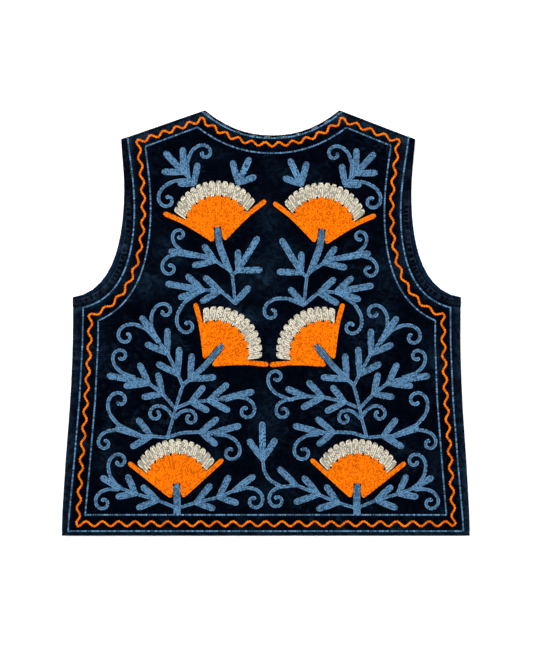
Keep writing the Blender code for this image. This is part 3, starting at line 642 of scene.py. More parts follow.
def fan_rows(fan, sign, spacing):
    """Rows of a fan: nested loops in each lobe, rows between them at the root, and the side bars."""
    _, _, _, _, half_angle, bud, lobes, _, flare, size = fan
    origin, axis = fan_place(fan, sign)
    pitch = 2 * half_angle / lobes
    lobe_half = math.radians(pitch / 2)
    rows = []

    def bud_clear(angle):
        """Radius past which a row at an angle clears the bud."""
        beside = (BUD_HALF + spacing / 2) / max(math.sin(math.radians(abs(angle))), LEAST_SINE)
        return min(beside, bud + spacing / 2)

    for lobe in range(lobes):
        middle = -half_angle + pitch * (lobe + 0.5)
        rim = FAN_RADIUS * size - FAN_DROP * droop(middle)
        outer = LOBE_LOOPS[0][0] * lobe_half * rim
        centre_radius = rim - outer - spacing / 2
        for share, first in LOBE_LOOPS:
            leg = []
            reach = share * lobe_half * rim
            first = max(first, bud_clear(middle))
            steps = max(4, round((centre_radius - first) / ROW_STEP))
            for i in range(steps + 1):
                radius = first + (centre_radius - first) * i / steps
                spread = reach / rim * radius if reach == outer else reach
                leg.append((radius, min(spread, lobe_half * radius - spacing * LEG_ROOM)))
            left, right = ([polar(origin, axis, middle + turn * math.degrees(aside / radius), radius)
                            for radius, aside in leg] for turn in (1, -1))
            hub = polar(origin, axis, middle, centre_radius)
            arc = [polar(hub, axis + middle, 90 - 180 / TIP_STEPS * k, reach) for k in range(1, TIP_STEPS)]
            rows.append(left + arc + right[::-1])
        start = max(MIDDLE_START, bud_clear(middle))
        end = centre_radius + spacing * MIDDLE_REACH
        rows.append([polar(origin, axis, middle, start), polar(origin, axis, middle, end)])
        least, latest, end = BETWEEN_ROWS
        if lobe:
            edge = middle - pitch / 2
            start = max(least, bud_clear(edge))
            if start < latest:
                rows.append([polar(origin, axis, edge, start), polar(origin, axis, edge, end)])
    for turn in (-1, 1):
        path = []
        for i in range(BAR_STEPS + 1):
            radius = BAR_START + (BAR_LENGTH * size - BAR_START) * i / BAR_STEPS
            angle = half_angle - bowed_in(flare, radius, size)
            path.append(polar(origin, axis, turn * angle, radius))
        rows += filled_rows(path, BAR_HALVES, spacing, round_root=True)
    return rows


def petal_rows(fan, sign, spacing):
    """Rows of the petals between a fan's bars: nested loops that fill each petal."""
    _, _, _, _, half_angle, _, _, petals, flare, size = fan
    origin, axis = fan_place(fan, sign)
    inner = FAN_RADIUS * size - FAN_DROP
    edge = half_angle - math.degrees((BAR_HALF + GAP) / inner) - bowed_in(flare, inner, size)
    pitch = 2 * edge / petals
    rows = []
    for petal in range(petals):
        angle = -edge + pitch * (petal + 0.5)
        inner = FAN_RADIUS * size - FAN_DROP * droop(angle) - PETAL_TUCK
        outer = PETAL_TIP * size - PETAL_DROP * droop(angle)
        half = math.radians(pitch / 2)
        halves = ((0, half * inner - PETAL_GAP), (1, half * outer * PETAL_FULLNESS - PETAL_GAP))
        path = [polar(origin, axis, angle, inner), polar(origin, axis, angle, outer)]
        rows += filled_rows(path, halves, spacing, centre=False)
    return rows


def tucked_under(fan, sign):
    """A function that says how far a petal's stitches dip where they run under the fan's lobes."""
    origin, axis = fan_place(fan, sign)

    def dip(point):
        away = point - origin
        turn = turn_off(away, axis)
        under = FAN_RADIUS * fan.size - FAN_DROP * droop(turn) - away.length
        return -PETAL_DIP * smooth(under / PETAL_DIP_RUN)

    return dip


def border_row(name, spacing):
    """A chain row of the border: rows of points and whether they close."""
    if name == "neck":
        below = 2 * BINDING_RADIUS + 2 * GAP + spacing / 2
        _, _, _, _, neck, *_ = border((0, 0, 0, NECK_ROW_END, below))
        return [neck], False
    runs = border(BORDER_ROWS[name])
    if name == "outer":
        path = []
        for index in OUTER_RUNS:
            path += runs[index][:-1]
        return [path + [runs[OUTER_RUNS[-1]][-1]]], False
    return [[point for run in runs for point in run[:-1]]], True


def wave_path():
    """The waving row between the two chain rows, an outward wave at each corner."""
    path = []
    for run, kind in zip(border(BORDER_ROWS["wave"]), EDGE_KINDS):
        waves = round(path_length(run) / WAVE_PITCH[kind])
        steps = WAVE_STEPS * waves
        fine = resample(run, steps)
        for i in range(steps):
            along = (fine[i + 1] - fine[max(i - 1, 0)]).normalized()
            outward = Vector((along.y, -along.x))
            path.append(fine[i] + outward * WAVE_SWING[kind] * math.cos(math.tau * i / WAVE_STEPS))
    return path


HALF_LENGTH = LENGTH / 2
PANEL_INSETS = (0, 0, tuple(width + GAP / 2 for width in BAND_WIDTHS), 0, 2 * BINDING_RADIUS + GAP)

# How finely the tops of the cloth pieces are divided, and how finely edges are searched
BACK_CUTS = 9
BAND_CUTS = 12
FRONT_CUTS = 3
FINE_STEP = 0.0005

# Which faces face up or down, which edges are rims or sharp, and the share of
# its box under which a front's piece is a band
UPWARD = 0.4
DOWNWARD = -0.9
RIM_ANGLE = 1
SHARP_ANGLE = math.radians(60)
BAND_SHARE = 0.5

# Which runs of the outline are the armholes, and which the outer row follows
ARMHOLE_RUNS = {"right": 2, "left": 6}
OUTER_RUNS = (6, 7, 0, 1, 2)

# Steps of a wave and of the binding, and how far from the shoulder the neck row ends
WAVE_STEPS = 16
BINDING_STEPS = 120
NECK_ROW_END = 0.002

# Rolled edges, seams and the ripple of the cloth along the shoulders; how far the painted sheen patches
# reach, and the painted shade in the shoulder seam
EDGE_ROLL = 0.0022
EDGE_FALL = 0.0015
CREASE_FADE = 0.012
CREASE_REACH = 3
SHEEN_PATCH_REACH = 5
SEAM_WIDTH = 0.0008
SEAM_DEPTH = 0.00035
SEAM_SHADE = 1.2
SHOULDER_SEAM = 0.0024
SHOULDER_SEAM_WIDTH = 0.00056
RIPPLE_PLACE = 0.006
RIPPLE_WIDTH = 0.003
RIPPLE_LENGTH = 0.0011
RIPPLE_WANDER = 0.019
RIPPLE_SWAY = 2.5
RIPPLE_HEIGHT = 0.00012

# Even share of painted sheen on the plain pieces
FRONT_PAINTED_SHEEN = 0.15
BINDING_PAINTED_SHEEN = 0.10

# Puckers on the armhole bands, with painted light on their ridges, painted shade in their folds and a
# painted highlight along the rolled edge
PUCKER_PITCH = 0.0058
PUCKER_DEPTH = 0.0007
PUCKER_LOW = 0.300
PUCKER_HIGH = 0.425
PUCKER_RISE = 0.02
PUCKER_DROP = 0.03
PUCKER_SHIFTS = {"left": 0.0, "right": 1.7}
PUCKER_WANDER = ((0.35, 0.013), (0.2, 0.0047))
PUCKER_UNEVEN = (0.65, 0.35, 0.0091)
PUCKER_START = 0.0012
PUCKER_START_FADE = 0.0015
PUCKER_END = 0.0092
PUCKER_END_FADE = 0.003
BAND_LIGHT_TOP = 0.430
BAND_LIGHT_FADE = 0.025
BAND_PAINTED_SHEEN = 0.08
PUCKER_PAINTED_LIGHT = 0.50
PUCKER_SHADE = 2.4
EDGE_LINE = 0.0015
EDGE_LINE_WIDTH = 0.0006
EDGE_LINE_HIGHLIGHT = 1.1

# Embroidery: how it beds in, its padding with the rise that paints it in shade, and how slack and deep its
# stitches are, whose tones also set the painted shade in their hollows
STITCH_SINK = 0.0002
PAD_HEIGHT = 0.0005
PAD_MIDDLE = 0.0007
PAD_SHADE_RISE = 0.22
FILLING_TONES = (-1.0, 1.0)
ROW_TONES = (-0.52, -0.34)
BUD_SPREAD = 0.5
BUD_TONE = 0.5
FAN_LIFT = 0.0004
SEED = 7

# Stitches against their rows: how far each overlaps the next, and its width or height
MOTIF_OVERLAP = 1.28
MOTIF_WIDTH = 1.08
BORDER_OVERLAP = 1.25
WAVE_OVERLAP = 1.35
WAVE_HEIGHT = 1.15

# Least and most length, width and height of the uneven stitches
UNEVEN_LEAST = (0.94, 0.90, 0.88)
UNEVEN_MOST = (1.06, 1.06, 1.08)

# Form of a chain stitch, one unit each way: its tail, its rim and its hollow, with the rise at the hollow's
# centre that sets its painted shade
LINK_SIDES = 8
TAIL_WIDTH = 0.66
WIDTH_GAIN = 0.40
TAIL_HEIGHT = 0.8
HEIGHT_GAIN = 0.2
RIM_SCALE = (0.76, 0.64, 1)
RIM_SHIFT = (0.04, 0, 1)
HOLLOW_DROP = 0.55
HOLLOW_SHADE_RISE = 0.15

# Finishes: sheen of the velvet, and how much of its shade colour each thread keeps in the hollows, as
# painted shade with the velvet partly showing through
VELVET_SHEEN = 0.01
HOLLOW_SHADE_SHARES = {"blue_thread": 0.06, "orange_thread": 0.46, "cream_thread": 0.06}

# The camera's sensor in millimetres
SENSOR_HEIGHT = 36

# Softboxes: name, place, size, share of the brighter one's power
SOFTBOXES = (
    ("key_softbox", (-0.9, 1.1, 1.9), 1.3, 1.0),
    ("fill_softbox", (1.2, -0.7, 1.8), 1.6, 0.55),
)


def smooth(value):
    """A share from 0 to 1 with soft ends."""
    t = min(max(value, 0.0), 1.0)
    return t * t * (3 - 2 * t)


def near_line(distance, width):
    """A share that falls from 1 on a line to nothing a few widths away from it."""
    return math.exp(-(distance / width) ** 2)


def search_tree(points):
    """A search tree of flat points."""
    tree = KDTree(len(points))
    for i, point in enumerate(points):
        tree.insert((*point, 0), i)
    tree.balance()
    return tree


def edge_trees(insets):
    """For each kind of edge, its points at fine steps in a search tree."""
    trees = {}
    for kind in sorted(set(EDGE_KINDS)):
        points = []
        for run, run_kind in zip(border(insets), EDGE_KINDS):
            if run_kind == kind:
                points += resample(run, round(path_length(run) / FINE_STEP))
        trees[kind] = search_tree(points)
    return trees


def crease_rise(x, y):
    """Height that the laid creases add at a place of the garment."""
    total = 0.0
    for x0, y0, x1, y1, width, rise in CREASES:
        start = Vector((MOTIF_AXIS + x0 / 1000, y0 / 1000))
        along = Vector(((x1 - x0) / 1000, (y1 - y0) / 1000))
        share = ((x - start.x) * along.x + (y - start.y) * along.y) / along.length_squared
        near = start + along * min(max(share, 0), 1)
        away = math.hypot(x - near.x, y - near.y) / (width / 1000)
        if away < CREASE_REACH:
            total += rise / 1000 * math.exp(-away * away)
    return total


def painted_sheen_at(x, y):
    """How strongly the painted sheen shows at a place, from the listed patches."""
    total = 0.0
    for px, py, reach_x, reach_y, strength in PAINTED_SHEEN_PATCHES:
        away = ((x - MOTIF_AXIS) * 1000 - px) ** 2 / reach_x**2 + (y * 1000 - py) ** 2 / reach_y**2
        if away < SHEEN_PATCH_REACH:
            total += strength * math.exp(-away)
    return total


def add_object(name, data):
    """A new object in the scene."""
    obj = bpy.data.objects.new(name, data)
    bpy.context.scene.collection.objects.link(obj)
    return obj


def cloth_from(node, cuts):
    """A merged copy of a cloth solid with its top divided: the mesh, the top's points, the painted sheen
    layer.
    """
    bm = bmesh.new()
    bm.from_mesh(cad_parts[node].data)
    nap = bm.verts.layers.float.new("nap")
    bmesh.ops.remove_doubles(bm, verts=bm.verts, dist=MERGE)
    upper = [face for face in bm.faces if face.normal.z > UPWARD]
    bmesh.ops.join_triangles(bm, faces=upper, angle_face_threshold=math.pi, angle_shape_threshold=math.pi)
    edges = {edge for face in bm.faces if face.normal.z > UPWARD for edge in face.edges}
    bmesh.ops.subdivide_edges(bm, edges=list(edges), cuts=cuts, use_grid_fill=True)
    bm.normal_update()
    points = {vert for face in bm.faces if face.normal.z > UPWARD for vert in face.verts}
    return bm, list(points), nap


def finish_mesh(bm, name, materials):
    """Turn a bmesh into a smooth-shaded object with its materials."""
    mesh = bpy.data.meshes.new(name)
    bm.to_mesh(mesh)
    bm.free()
    for material in materials:
        mesh.materials.append(material)
    mesh.shade_smooth()
    mesh.set_sharp_from_angle(angle=SHARP_ANGLE)
    return add_object(name, mesh)


def take_place(obj, node):
    """Let a finished piece stand for its solid."""
    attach(obj, "root")
    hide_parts(node)


def under_area(obj):
    """Area of a cloth piece's flat underside."""
    return sum(face.area for face in obj.data.polygons if face.normal.z < DOWNWARD)


def edge_fall(distance):
    """How far the rolled edge has fallen at a distance from the cut."""
    if distance >= EDGE_ROLL:
        return 0.0
    return EDGE_FALL * (1 - math.sqrt(1 - (1 - distance / EDGE_ROLL) ** 2))


def make_back():
    """The back: rounded at its free edges, with its seams and creases, painted sheen in patches and along
    the edges, and painted shade in the shoulder seam.
    """
    bm, points, nap = cloth_from("back_panel", BACK_CUTS)
    trees = edge_trees(PANEL_INSETS)
    for vert in points:
        x, y = vert.co.x, vert.co.y + HALF_LENGTH
        away = {kind: tree.find((x, y, 0))[2] for kind, tree in trees.items()}
        free = min(away["hem"], away["side"], away["shoulder"], away["neck"])
        inside = smooth(min(free, away["armhole"]) / CREASE_FADE)
        seam = near_line(away["shoulder"] - SHOULDER_SEAM, SHOULDER_SEAM_WIDTH)
        ripple = math.sin(x / RIPPLE_LENGTH + RIPPLE_SWAY * math.sin(x / RIPPLE_WANDER))
        rise = crease_rise(x, y) * inside - edge_fall(free)
        rise -= SEAM_DEPTH * (near_line(away["armhole"], SEAM_WIDTH) + seam)
        rise += RIPPLE_HEIGHT * ripple * near_line(away["shoulder"] - RIPPLE_PLACE, RIPPLE_WIDTH)
        # Painted sheen in patches and along the rolled edges, less a painted shade in the shoulder seam
        light = painted_sheen_at(x, y) - SEAM_SHADE * seam
        for kind, (strength, reach) in PAINTED_EDGE_SHEEN.items():
            light += strength * near_line(away[kind], reach)
        vert[nap] = light
        vert.co.z += rise
    obj = finish_mesh(bm, "back_panel_velvet", [finish("velvet")])
    take_place(obj, "back_panel")
    return obj


def pucker_depth(along, height, shift):
    """Depth of the puckers across the band at a length along it."""
    rising = smooth((height - PUCKER_LOW + PUCKER_RISE) / PUCKER_RISE)
    shown = rising * smooth((PUCKER_HIGH - height) / PUCKER_DROP)
    wander = along / PUCKER_PITCH
    for k, (swing, length) in enumerate(PUCKER_WANDER, 1):
        wander += swing * math.sin(along / length + k * shift)
    fold = 0.5 + 0.5 * math.cos(math.tau * wander)
    usual, swing, length = PUCKER_UNEVEN
    uneven = usual + swing * math.sin(along / length + 3 * shift)
    return shown * uneven * fold**2


def make_bands():
    """The back's armhole bands: rolled edge, puckers across, seam against the back, with a painted
    highlight along the edge and painted light and shade on the puckers.
    """
    made = []
    for side, shift in PUCKER_SHIFTS.items():
        node = f"back_armhole_band_{side}"
        bm, points, nap = cloth_from(node, BAND_CUTS)
        run = border((0, 0, 0, 0, 0))[ARMHOLE_RUNS[side]]
        if side == "left":
            run = run[::-1]
        fine = resample(run, round(path_length(run) / FINE_STEP))
        tree = search_tree(fine)
        for vert in points:
            y = vert.co.y + HALF_LENGTH
            _, place, across = tree.find((vert.co.x, y, 0))
            shown = smooth((BAND_LIGHT_TOP - y) / BAND_LIGHT_FADE)
            window = smooth((across - PUCKER_START) / PUCKER_START_FADE)
            window *= smooth((PUCKER_END - across) / PUCKER_END_FADE)
            fold = pucker_depth(place * FINE_STEP, y, shift) * window
            width = inset_at(BAND_WIDTHS, place / len(fine))
            vert.co.z -= edge_fall(across) + PUCKER_DEPTH * fold
            vert.co.z -= SEAM_DEPTH * near_line(width - across, SEAM_WIDTH)
            # Painted light on the puckers' ridges, painted shade in their folds, and a painted highlight
            # along the rolled edge
            pucker_light_and_shade = PUCKER_PAINTED_LIGHT * window * (1 - PUCKER_SHADE * fold)
            edge_highlight = EDGE_LINE_HIGHLIGHT * near_line(across - EDGE_LINE, EDGE_LINE_WIDTH)
            vert[nap] = BAND_PAINTED_SHEEN + (edge_highlight + pucker_light_and_shade) * shown
        obj = finish_mesh(bm, f"{node}_velvet", [finish("band_velvet")])
        take_place(obj, node)
        made.append(obj)
    return made


def make_fronts():
    """The fronts and their armhole bands underneath, face down."""
    made = []
    for side in ("left", "right"):
        for node, finish_name, slot in ((f"front_{side}", "velvet", "velvet"),
                                        (f"front_armhole_band_{side}", "facing_velvet", "band_velvet")):
            bm, points, nap = cloth_from(node, FRONT_CUTS)
            paired = [edge for edge in bm.edges if len(edge.link_faces) == 2]
            rims = {vert for edge in paired if edge.calc_face_angle(0) > RIM_ANGLE for vert in edge.verts}
            for vert in points:
                if vert in rims:
                    vert.co.z -= GAP
                vert[nap] = FRONT_PAINTED_SHEEN
            obj = finish_mesh(bm, f"{node}_velvet", [finish(finish_name)])
            take_place(obj, node)
            low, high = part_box(node)
            area = under_area(obj)
            flat = (high.x - low.x, high.y - low.y)
            if area < BAND_SHARE * flat[0] * flat[1]:
                flat = (area / flat[1], flat[1])
            made.append(obj)
    return made


def make_binding():
    """The rolled binding along the back neck."""
    low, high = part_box("neck_binding")
    _, _, _, _, neck, *_ = border((0, 0, 0, 0, BINDING_RADIUS))
    path = resample(neck, BINDING_STEPS)[1:-1]
    curve = bpy.data.curves.new("neck_binding_path", "CURVE")
    curve.dimensions = "3D"
    curve.bevel_depth = BINDING_RADIUS
    curve.bevel_resolution = 3
    curve.use_fill_caps = True
    spline = curve.splines.new("POLY")
    spline.points.add(len(path) - 1)
    for target, point in zip(spline.points, path):
        target.co = (point.x, point.y - HALF_LENGTH, (low.z + high.z) / 2, 1)
    guide = add_object("neck_binding_path", curve)
    bpy.context.view_layer.update()
    mesh = bpy.data.meshes.new_from_object(guide.evaluated_get(bpy.context.evaluated_depsgraph_get()))
    bpy.data.objects.remove(guide)
    bm = bmesh.new()
    bm.from_mesh(mesh)
    bpy.data.meshes.remove(mesh)
    bmesh.ops.remove_doubles(bm, verts=bm.verts, dist=MERGE)
    bmesh.ops.recalc_face_normals(bm, faces=bm.faces)
    nap = bm.verts.layers.float.new("nap")
    for vert in bm.verts:
        vert[nap] = BINDING_PAINTED_SHEEN
    obj = finish_mesh(bm, "neck_binding_velvet", [finish("band_velvet")])
    take_place(obj, "neck_binding")
    return obj


def link_template():
    """One chain stitch: a narrow-tailed loop with a raised rim round a hollow, one unit each way."""
    bm = bmesh.new()
    rise = bm.verts.layers.float.new("rise")
    uv = bm.loops.layers.uv.new("stitch")
    bmesh.ops.create_circle(bm, cap_ends=True, segments=LINK_SIDES, radius=0.5)
    for vert in bm.verts:
        vert.co.y *= TAIL_WIDTH + WIDTH_GAIN * smooth(vert.co.x + 0.5)
    lifted = bmesh.ops.extrude_face_region(bm, geom=bm.faces[:])
    rim = [item for item in lifted["geom"] if isinstance(item, bmesh.types.BMVert)]
    bmesh.ops.scale(bm, verts=rim, vec=RIM_SCALE)
    bmesh.ops.translate(bm, verts=rim, vec=RIM_SHIFT)
    top = [item for item in lifted["geom"] if isinstance(item, bmesh.types.BMFace)]
    centre = bmesh.ops.poke(bm, faces=top, offset=-HOLLOW_DROP)["verts"]
    # The rise attribute sets the thread's painted shade: darkest at the foot on the cloth, deep in the
    # hollow, none on the rim
    for vert in bm.verts:
        vert[rise] = 0.0 if vert.co.z < 0.01 else HOLLOW_SHADE_RISE if vert in centre else 1.0
        vert.co.z *= TAIL_HEIGHT + HEIGHT_GAIN * (vert.co.x + 0.5)
    for face in bm.faces:
        face.smooth = True
        for loop in face.loops:
            loop[uv].uv = (loop.vert.co.x + 0.5, loop.vert.co.y + 0.5)
    bmesh.ops.recalc_face_normals(bm, faces=bm.faces)
    mesh = bpy.data.meshes.new("chain_link")
    bm.to_mesh(mesh)
    bm.free()
    obj = add_object("chain_link", mesh)
    obj.hide_render = True
    return obj


def shape_of(tree, obj):
    """The shape of an object in a geometry nodes tree; its socket."""
    node = tree.nodes.new("GeometryNodeObjectInfo")
    node.inputs["Object"].default_value = obj
    return node.outputs["Geometry"]


def stitch_nodes(rows, link, padding, size, seed, tones):
    """Geometry nodes that put a chain link on each point of the rows, over the padding if there is one."""
    tree = bpy.data.node_groups.new("Chain stitches", "GeometryNodeTree")
    tree.interface.new_socket("Rows", in_out="INPUT", socket_type="NodeSocketGeometry")
    tree.interface.new_socket("Stitches", in_out="OUTPUT", socket_type="NodeSocketGeometry")
    nodes, link_up = tree.nodes, tree.links.new
    points = nodes.new("GeometryNodeCurveToPoints")
    points.mode = "EVALUATED"
    turn = nodes.new("FunctionNodeAxesToRotation")
    turn.primary_axis = "X"
    turn.secondary_axis = "Z"
    turn.inputs["Secondary Axis"].default_value = (0, 0, 1)
    uneven = nodes.new("FunctionNodeRandomValue")
    uneven.data_type = "FLOAT_VECTOR"
    uneven.inputs["Min"].default_value = [part * share for part, share in zip(size, UNEVEN_LEAST)]
    uneven.inputs["Max"].default_value = [part * share for part, share in zip(size, UNEVEN_MOST)]
    uneven.inputs["Seed"].default_value = seed
    place = nodes.new("GeometryNodeInstanceOnPoints")
    tint = nodes.new("FunctionNodeRandomValue")
    tint.inputs[2].default_value, tint.inputs[3].default_value = tones
    tint.inputs["Seed"].default_value = seed + 1
    store = nodes.new("GeometryNodeStoreNamedAttribute")
    store.domain = "INSTANCE"
    store.data_type = "FLOAT"
    store.inputs["Name"].default_value = "tint"
    real = nodes.new("GeometryNodeRealizeInstances")
    join = nodes.new("GeometryNodeJoinGeometry")
    out = nodes.new("NodeGroupOutput")
    link_up(shape_of(tree, rows), points.inputs["Curve"])
    link_up(points.outputs["Points"], place.inputs["Points"])
    link_up(shape_of(tree, link), place.inputs["Instance"])
    link_up(points.outputs["Tangent"], turn.inputs["Primary Axis"])
    link_up(turn.outputs["Rotation"], place.inputs["Rotation"])
    link_up(uneven.outputs[0], place.inputs["Scale"])
    link_up(place.outputs["Instances"], store.inputs["Geometry"])
    link_up(tint.outputs[1], store.inputs["Value"])
    link_up(store.outputs["Geometry"], real.inputs["Geometry"])
    link_up(real.outputs["Geometry"], join.inputs["Geometry"])
    if padding:
        link_up(shape_of(tree, padding), join.inputs["Geometry"])
    link_up(join.outputs["Geometry"], out.inputs[0])
    return tree


def height_over(bm):
    """A function that gives the height of a mesh's top at a place of the garment."""
    tree = BVHTree.FromBMesh(bm)
    bm.free()

    def height(point):
        hit = tree.ray_cast(Vector((point.x, point.y - HALF_LENGTH, 1)), Vector((0, 0, -1)))
        if hit[0] is None:
            raise RuntimeError(f"no cloth under the embroidery at {point.x:.4f}, {point.y:.4f}")
        return hit[0].z

    return height


def cloth_heights():
    """Two functions: the height of the laid back, and of its plain solid."""
    back = bpy.data.objects.get("back_panel_velvet")
    if back is None:
        raise RuntimeError("the embroidery needs the back: make the back first")
    both = []
    for obj in (back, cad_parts["back_panel"]):
        bm = bmesh.new()
        bm.from_mesh(obj.data)
        both.append(height_over(bm))
    return both


def make_padding(node, heights):
    """Low padding under a motif's stitches: its solid's shape, laid on the creased cloth, with a low rise
    and the deepest tone so that the thread's finish paints it in shade between the rows.
    """
    laid, plain = heights
    bm = bmesh.new()
    bm.from_mesh(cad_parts[node].data)
    rise = bm.verts.layers.float.new("rise")
    tint = bm.verts.layers.float.new("tint")
    bmesh.ops.remove_doubles(bm, verts=bm.verts, dist=MERGE)
    for vert in bm.verts:
        place = Vector((vert.co.x, vert.co.y + HALF_LENGTH))
        raised = vert.co.z - plain(place) > PAD_MIDDLE
        vert.co.z = laid(place) + (PAD_HEIGHT if raised else -STITCH_SINK)
        # A low rise and the deepest tone: the thread's finish paints the padding in shade between the rows
        vert[rise] = PAD_SHADE_RISE
        vert[tint] = FILLING_TONES[0]
    mesh = bpy.data.meshes.new("padding")
    bm.to_mesh(mesh)
    bm.free()
    return add_object("padding", mesh)


def stitch(node, rows, thread, size, pitch, heights, closed=False, padded=False, lift=lambda point: 0.0):
    """Work rows of chain stitch in place of a solid, and return the piece."""
    curve = bpy.data.curves.new(f"{node}_rows", "CURVE")
    curve.dimensions = "3D"
    count = 0
    for row in rows:
        whole = row + row[:1] if closed else row
        steps = round(path_length(whole) / pitch)
        if steps < 2:
            continue
        line = resample(whole, steps)
        if closed:
            line = line[:-1]
        spline = curve.splines.new("POLY")
        spline.points.add(len(line) - 1)
        spline.use_cyclic_u = closed
        for target, point in zip(spline.points, line):
            target.co = (point.x, point.y - HALF_LENGTH, heights[0](point) - STITCH_SINK + lift(point), 1)
        count += len(line)
    guide = add_object(f"{node}_rows", curve)
    link = bpy.data.objects.get("chain_link") or link_template()
    padding = make_padding(node, heights) if padded else None
    carrier = add_object("carrier", bpy.data.meshes.new("carrier"))
    work = carrier.modifiers.new("stitches", "NODES")
    tones = FILLING_TONES if padded else ROW_TONES
    group = stitch_nodes(guide, link, padding, size, SEED + len(node), tones)
    work.node_group = group
    bpy.context.view_layer.update()
    mesh = bpy.data.meshes.new_from_object(carrier.evaluated_get(bpy.context.evaluated_depsgraph_get()))
    for obj in (carrier, guide, padding):
        if obj:
            bpy.data.objects.remove(obj)
    bpy.data.node_groups.remove(group)
    if len(mesh.polygons) < count:
        raise RuntimeError(f"{node}: the stitches were not made")
    mesh.materials.clear()
    mesh.materials.append(finish(thread))
    mesh.name = f"{node}_stitches"
    obj = add_object(f"{node}_stitches", mesh)
    take_place(obj, node)
    return obj


def deepen_bud(obj, fan, sign):
    """Make the bud that a fan grows from a tone deeper than its vine."""
    root, axis = fan_place(fan, sign)
    ahead = polar(Vector((0, 0)), axis, 0, 1)
    tints = obj.data.attributes["tint"].data
    for vert, tint in zip(obj.data.vertices, tints):
        away = Vector((vert.co.x, vert.co.y + HALF_LENGTH)) - root
        if away.dot(ahead) > 0 and away.length < fan.bud + BUD_HALF:
            tint.value = tint.value * BUD_SPREAD - BUD_TONE


def drop_template():
    """Remove the guide stitch once the embroidery is worked."""
    link = bpy.data.objects.get("chain_link")
    if link:
        bpy.data.objects.remove(link)


FINISHES = {}


def node_group(name, vectors, values):
    """A new shader group that takes vectors and gives values: the tree and its two end nodes."""
    tree = bpy.data.node_groups.new(name, "ShaderNodeTree")
    for label in vectors:
        tree.interface.new_socket(label, in_out="INPUT", socket_type="NodeSocketVector")
    for label in values:
        tree.interface.new_socket(label, in_out="OUTPUT", socket_type="NodeSocketFloat")
    return tree, tree.nodes.new("NodeGroupInput"), tree.nodes.new("NodeGroupOutput")


def math_node(tree, operation, first, second=None, clamp=False):
    """A math node on two sockets or numbers; its value socket."""
    node = tree.nodes.new("ShaderNodeMath")
    node.operation = operation
    node.use_clamp = clamp
    for k, value in enumerate((first, second)):
        if value is None:
            continue
        if isinstance(value, (int, float)):
            node.inputs[k].default_value = value
        else:
            tree.links.new(value, node.inputs[k])
    return node.outputs[0]


def noise_node(tree, vector, scale, detail, roughness=0.5, distortion=0.0):
    """A noise texture on a vector; its value socket."""
    node = tree.nodes.new("ShaderNodeTexNoise")
    node.inputs["Scale"].default_value = scale
    node.inputs["Detail"].default_value = detail
    node.inputs["Roughness"].default_value = roughness
    node.inputs["Distortion"].default_value = distortion
    tree.links.new(vector, node.inputs["Vector"])
    return node.outputs["Fac"]


def range_node(tree, value, low, high, to_low=0.0, to_high=1.0):
    """A smooth map of a value from one range to another; its result socket."""
    node = tree.nodes.new("ShaderNodeMapRange")
    node.interpolation_type = "SMOOTHSTEP"
    node.inputs["From Min"].default_value = low
    node.inputs["From Max"].default_value = high
    node.inputs["To Min"].default_value = to_low
    node.inputs["To Max"].default_value = to_high
    tree.links.new(value, node.inputs["Value"])
    return node.outputs["Result"]


def mix_node(tree, share, first, second):
    """A colour mix; its result socket. A colour may be a socket or three numbers."""
    node = tree.nodes.new("ShaderNodeMix")
    node.data_type = "RGBA"
    for name, value in (("Factor_Float", share), ("A_Color", first), ("B_Color", second)):
        socket = next(item for item in node.inputs if item.identifier == name)
        if isinstance(value, bpy.types.NodeSocket):
            tree.links.new(value, socket)
        elif name == "Factor_Float":
            socket.default_value = value
        else:
            socket.default_value = (*value, 1)
    return next(item for item in node.outputs if item.identifier == "Result_Color")


def cloud_group():
    """Group for brushed nap: cloudy wisps in which the pile lies another way."""
    if "Brushed nap" in bpy.data.node_groups:
        return bpy.data.node_groups["Brushed nap"]
    tree, start, end = node_group("Brushed nap", ("Vector",), ("Wisps", "Clouds"))
    place = start.outputs["Vector"]
    broad = noise_node(tree, place, scale=22, detail=4, roughness=0.6, distortion=0.6)
    fine = noise_node(tree, place, scale=85, detail=5, roughness=0.62, distortion=1.4)
    stretch = tree.nodes.new("ShaderNodeMapping")
    stretch.inputs["Scale"].default_value = (1.0, 2.6, 1.0)
    stretch.inputs["Rotation"].default_value = (0, 0, 0.35)
    tree.links.new(place, stretch.inputs["Vector"])
    streak = noise_node(tree, stretch.outputs["Vector"], scale=60, detail=4, roughness=0.6, distortion=2.0)
    wisps = math_node(tree, "MULTIPLY", range_node(tree, broad, 0.46, 0.72),
                      range_node(tree, math_node(tree, "ADD", fine, streak), 0.88, 1.28))
    tree.links.new(wisps, end.inputs["Wisps"])
    tree.links.new(range_node(tree, fine, 0.36, 0.68), end.inputs["Clouds"])
    return tree


def pile_group():
    """Group for the short velvet pile: a fine speckle and its height."""
    if "Velvet pile" in bpy.data.node_groups:
        return bpy.data.node_groups["Velvet pile"]
    tree, start, end = node_group("Velvet pile", ("Vector",), ("Speckle", "Height"))
    grain = noise_node(tree, start.outputs["Vector"], scale=1300, detail=3, roughness=0.6)
    tufts = noise_node(tree, start.outputs["Vector"], scale=420, detail=3, roughness=0.55)
    tree.links.new(range_node(tree, grain, 0.35, 0.7), end.inputs["Speckle"])
    height = math_node(tree, "ADD", grain, math_node(tree, "MULTIPLY", tufts, 1.4))
    tree.links.new(height, end.inputs["Height"])
    return tree


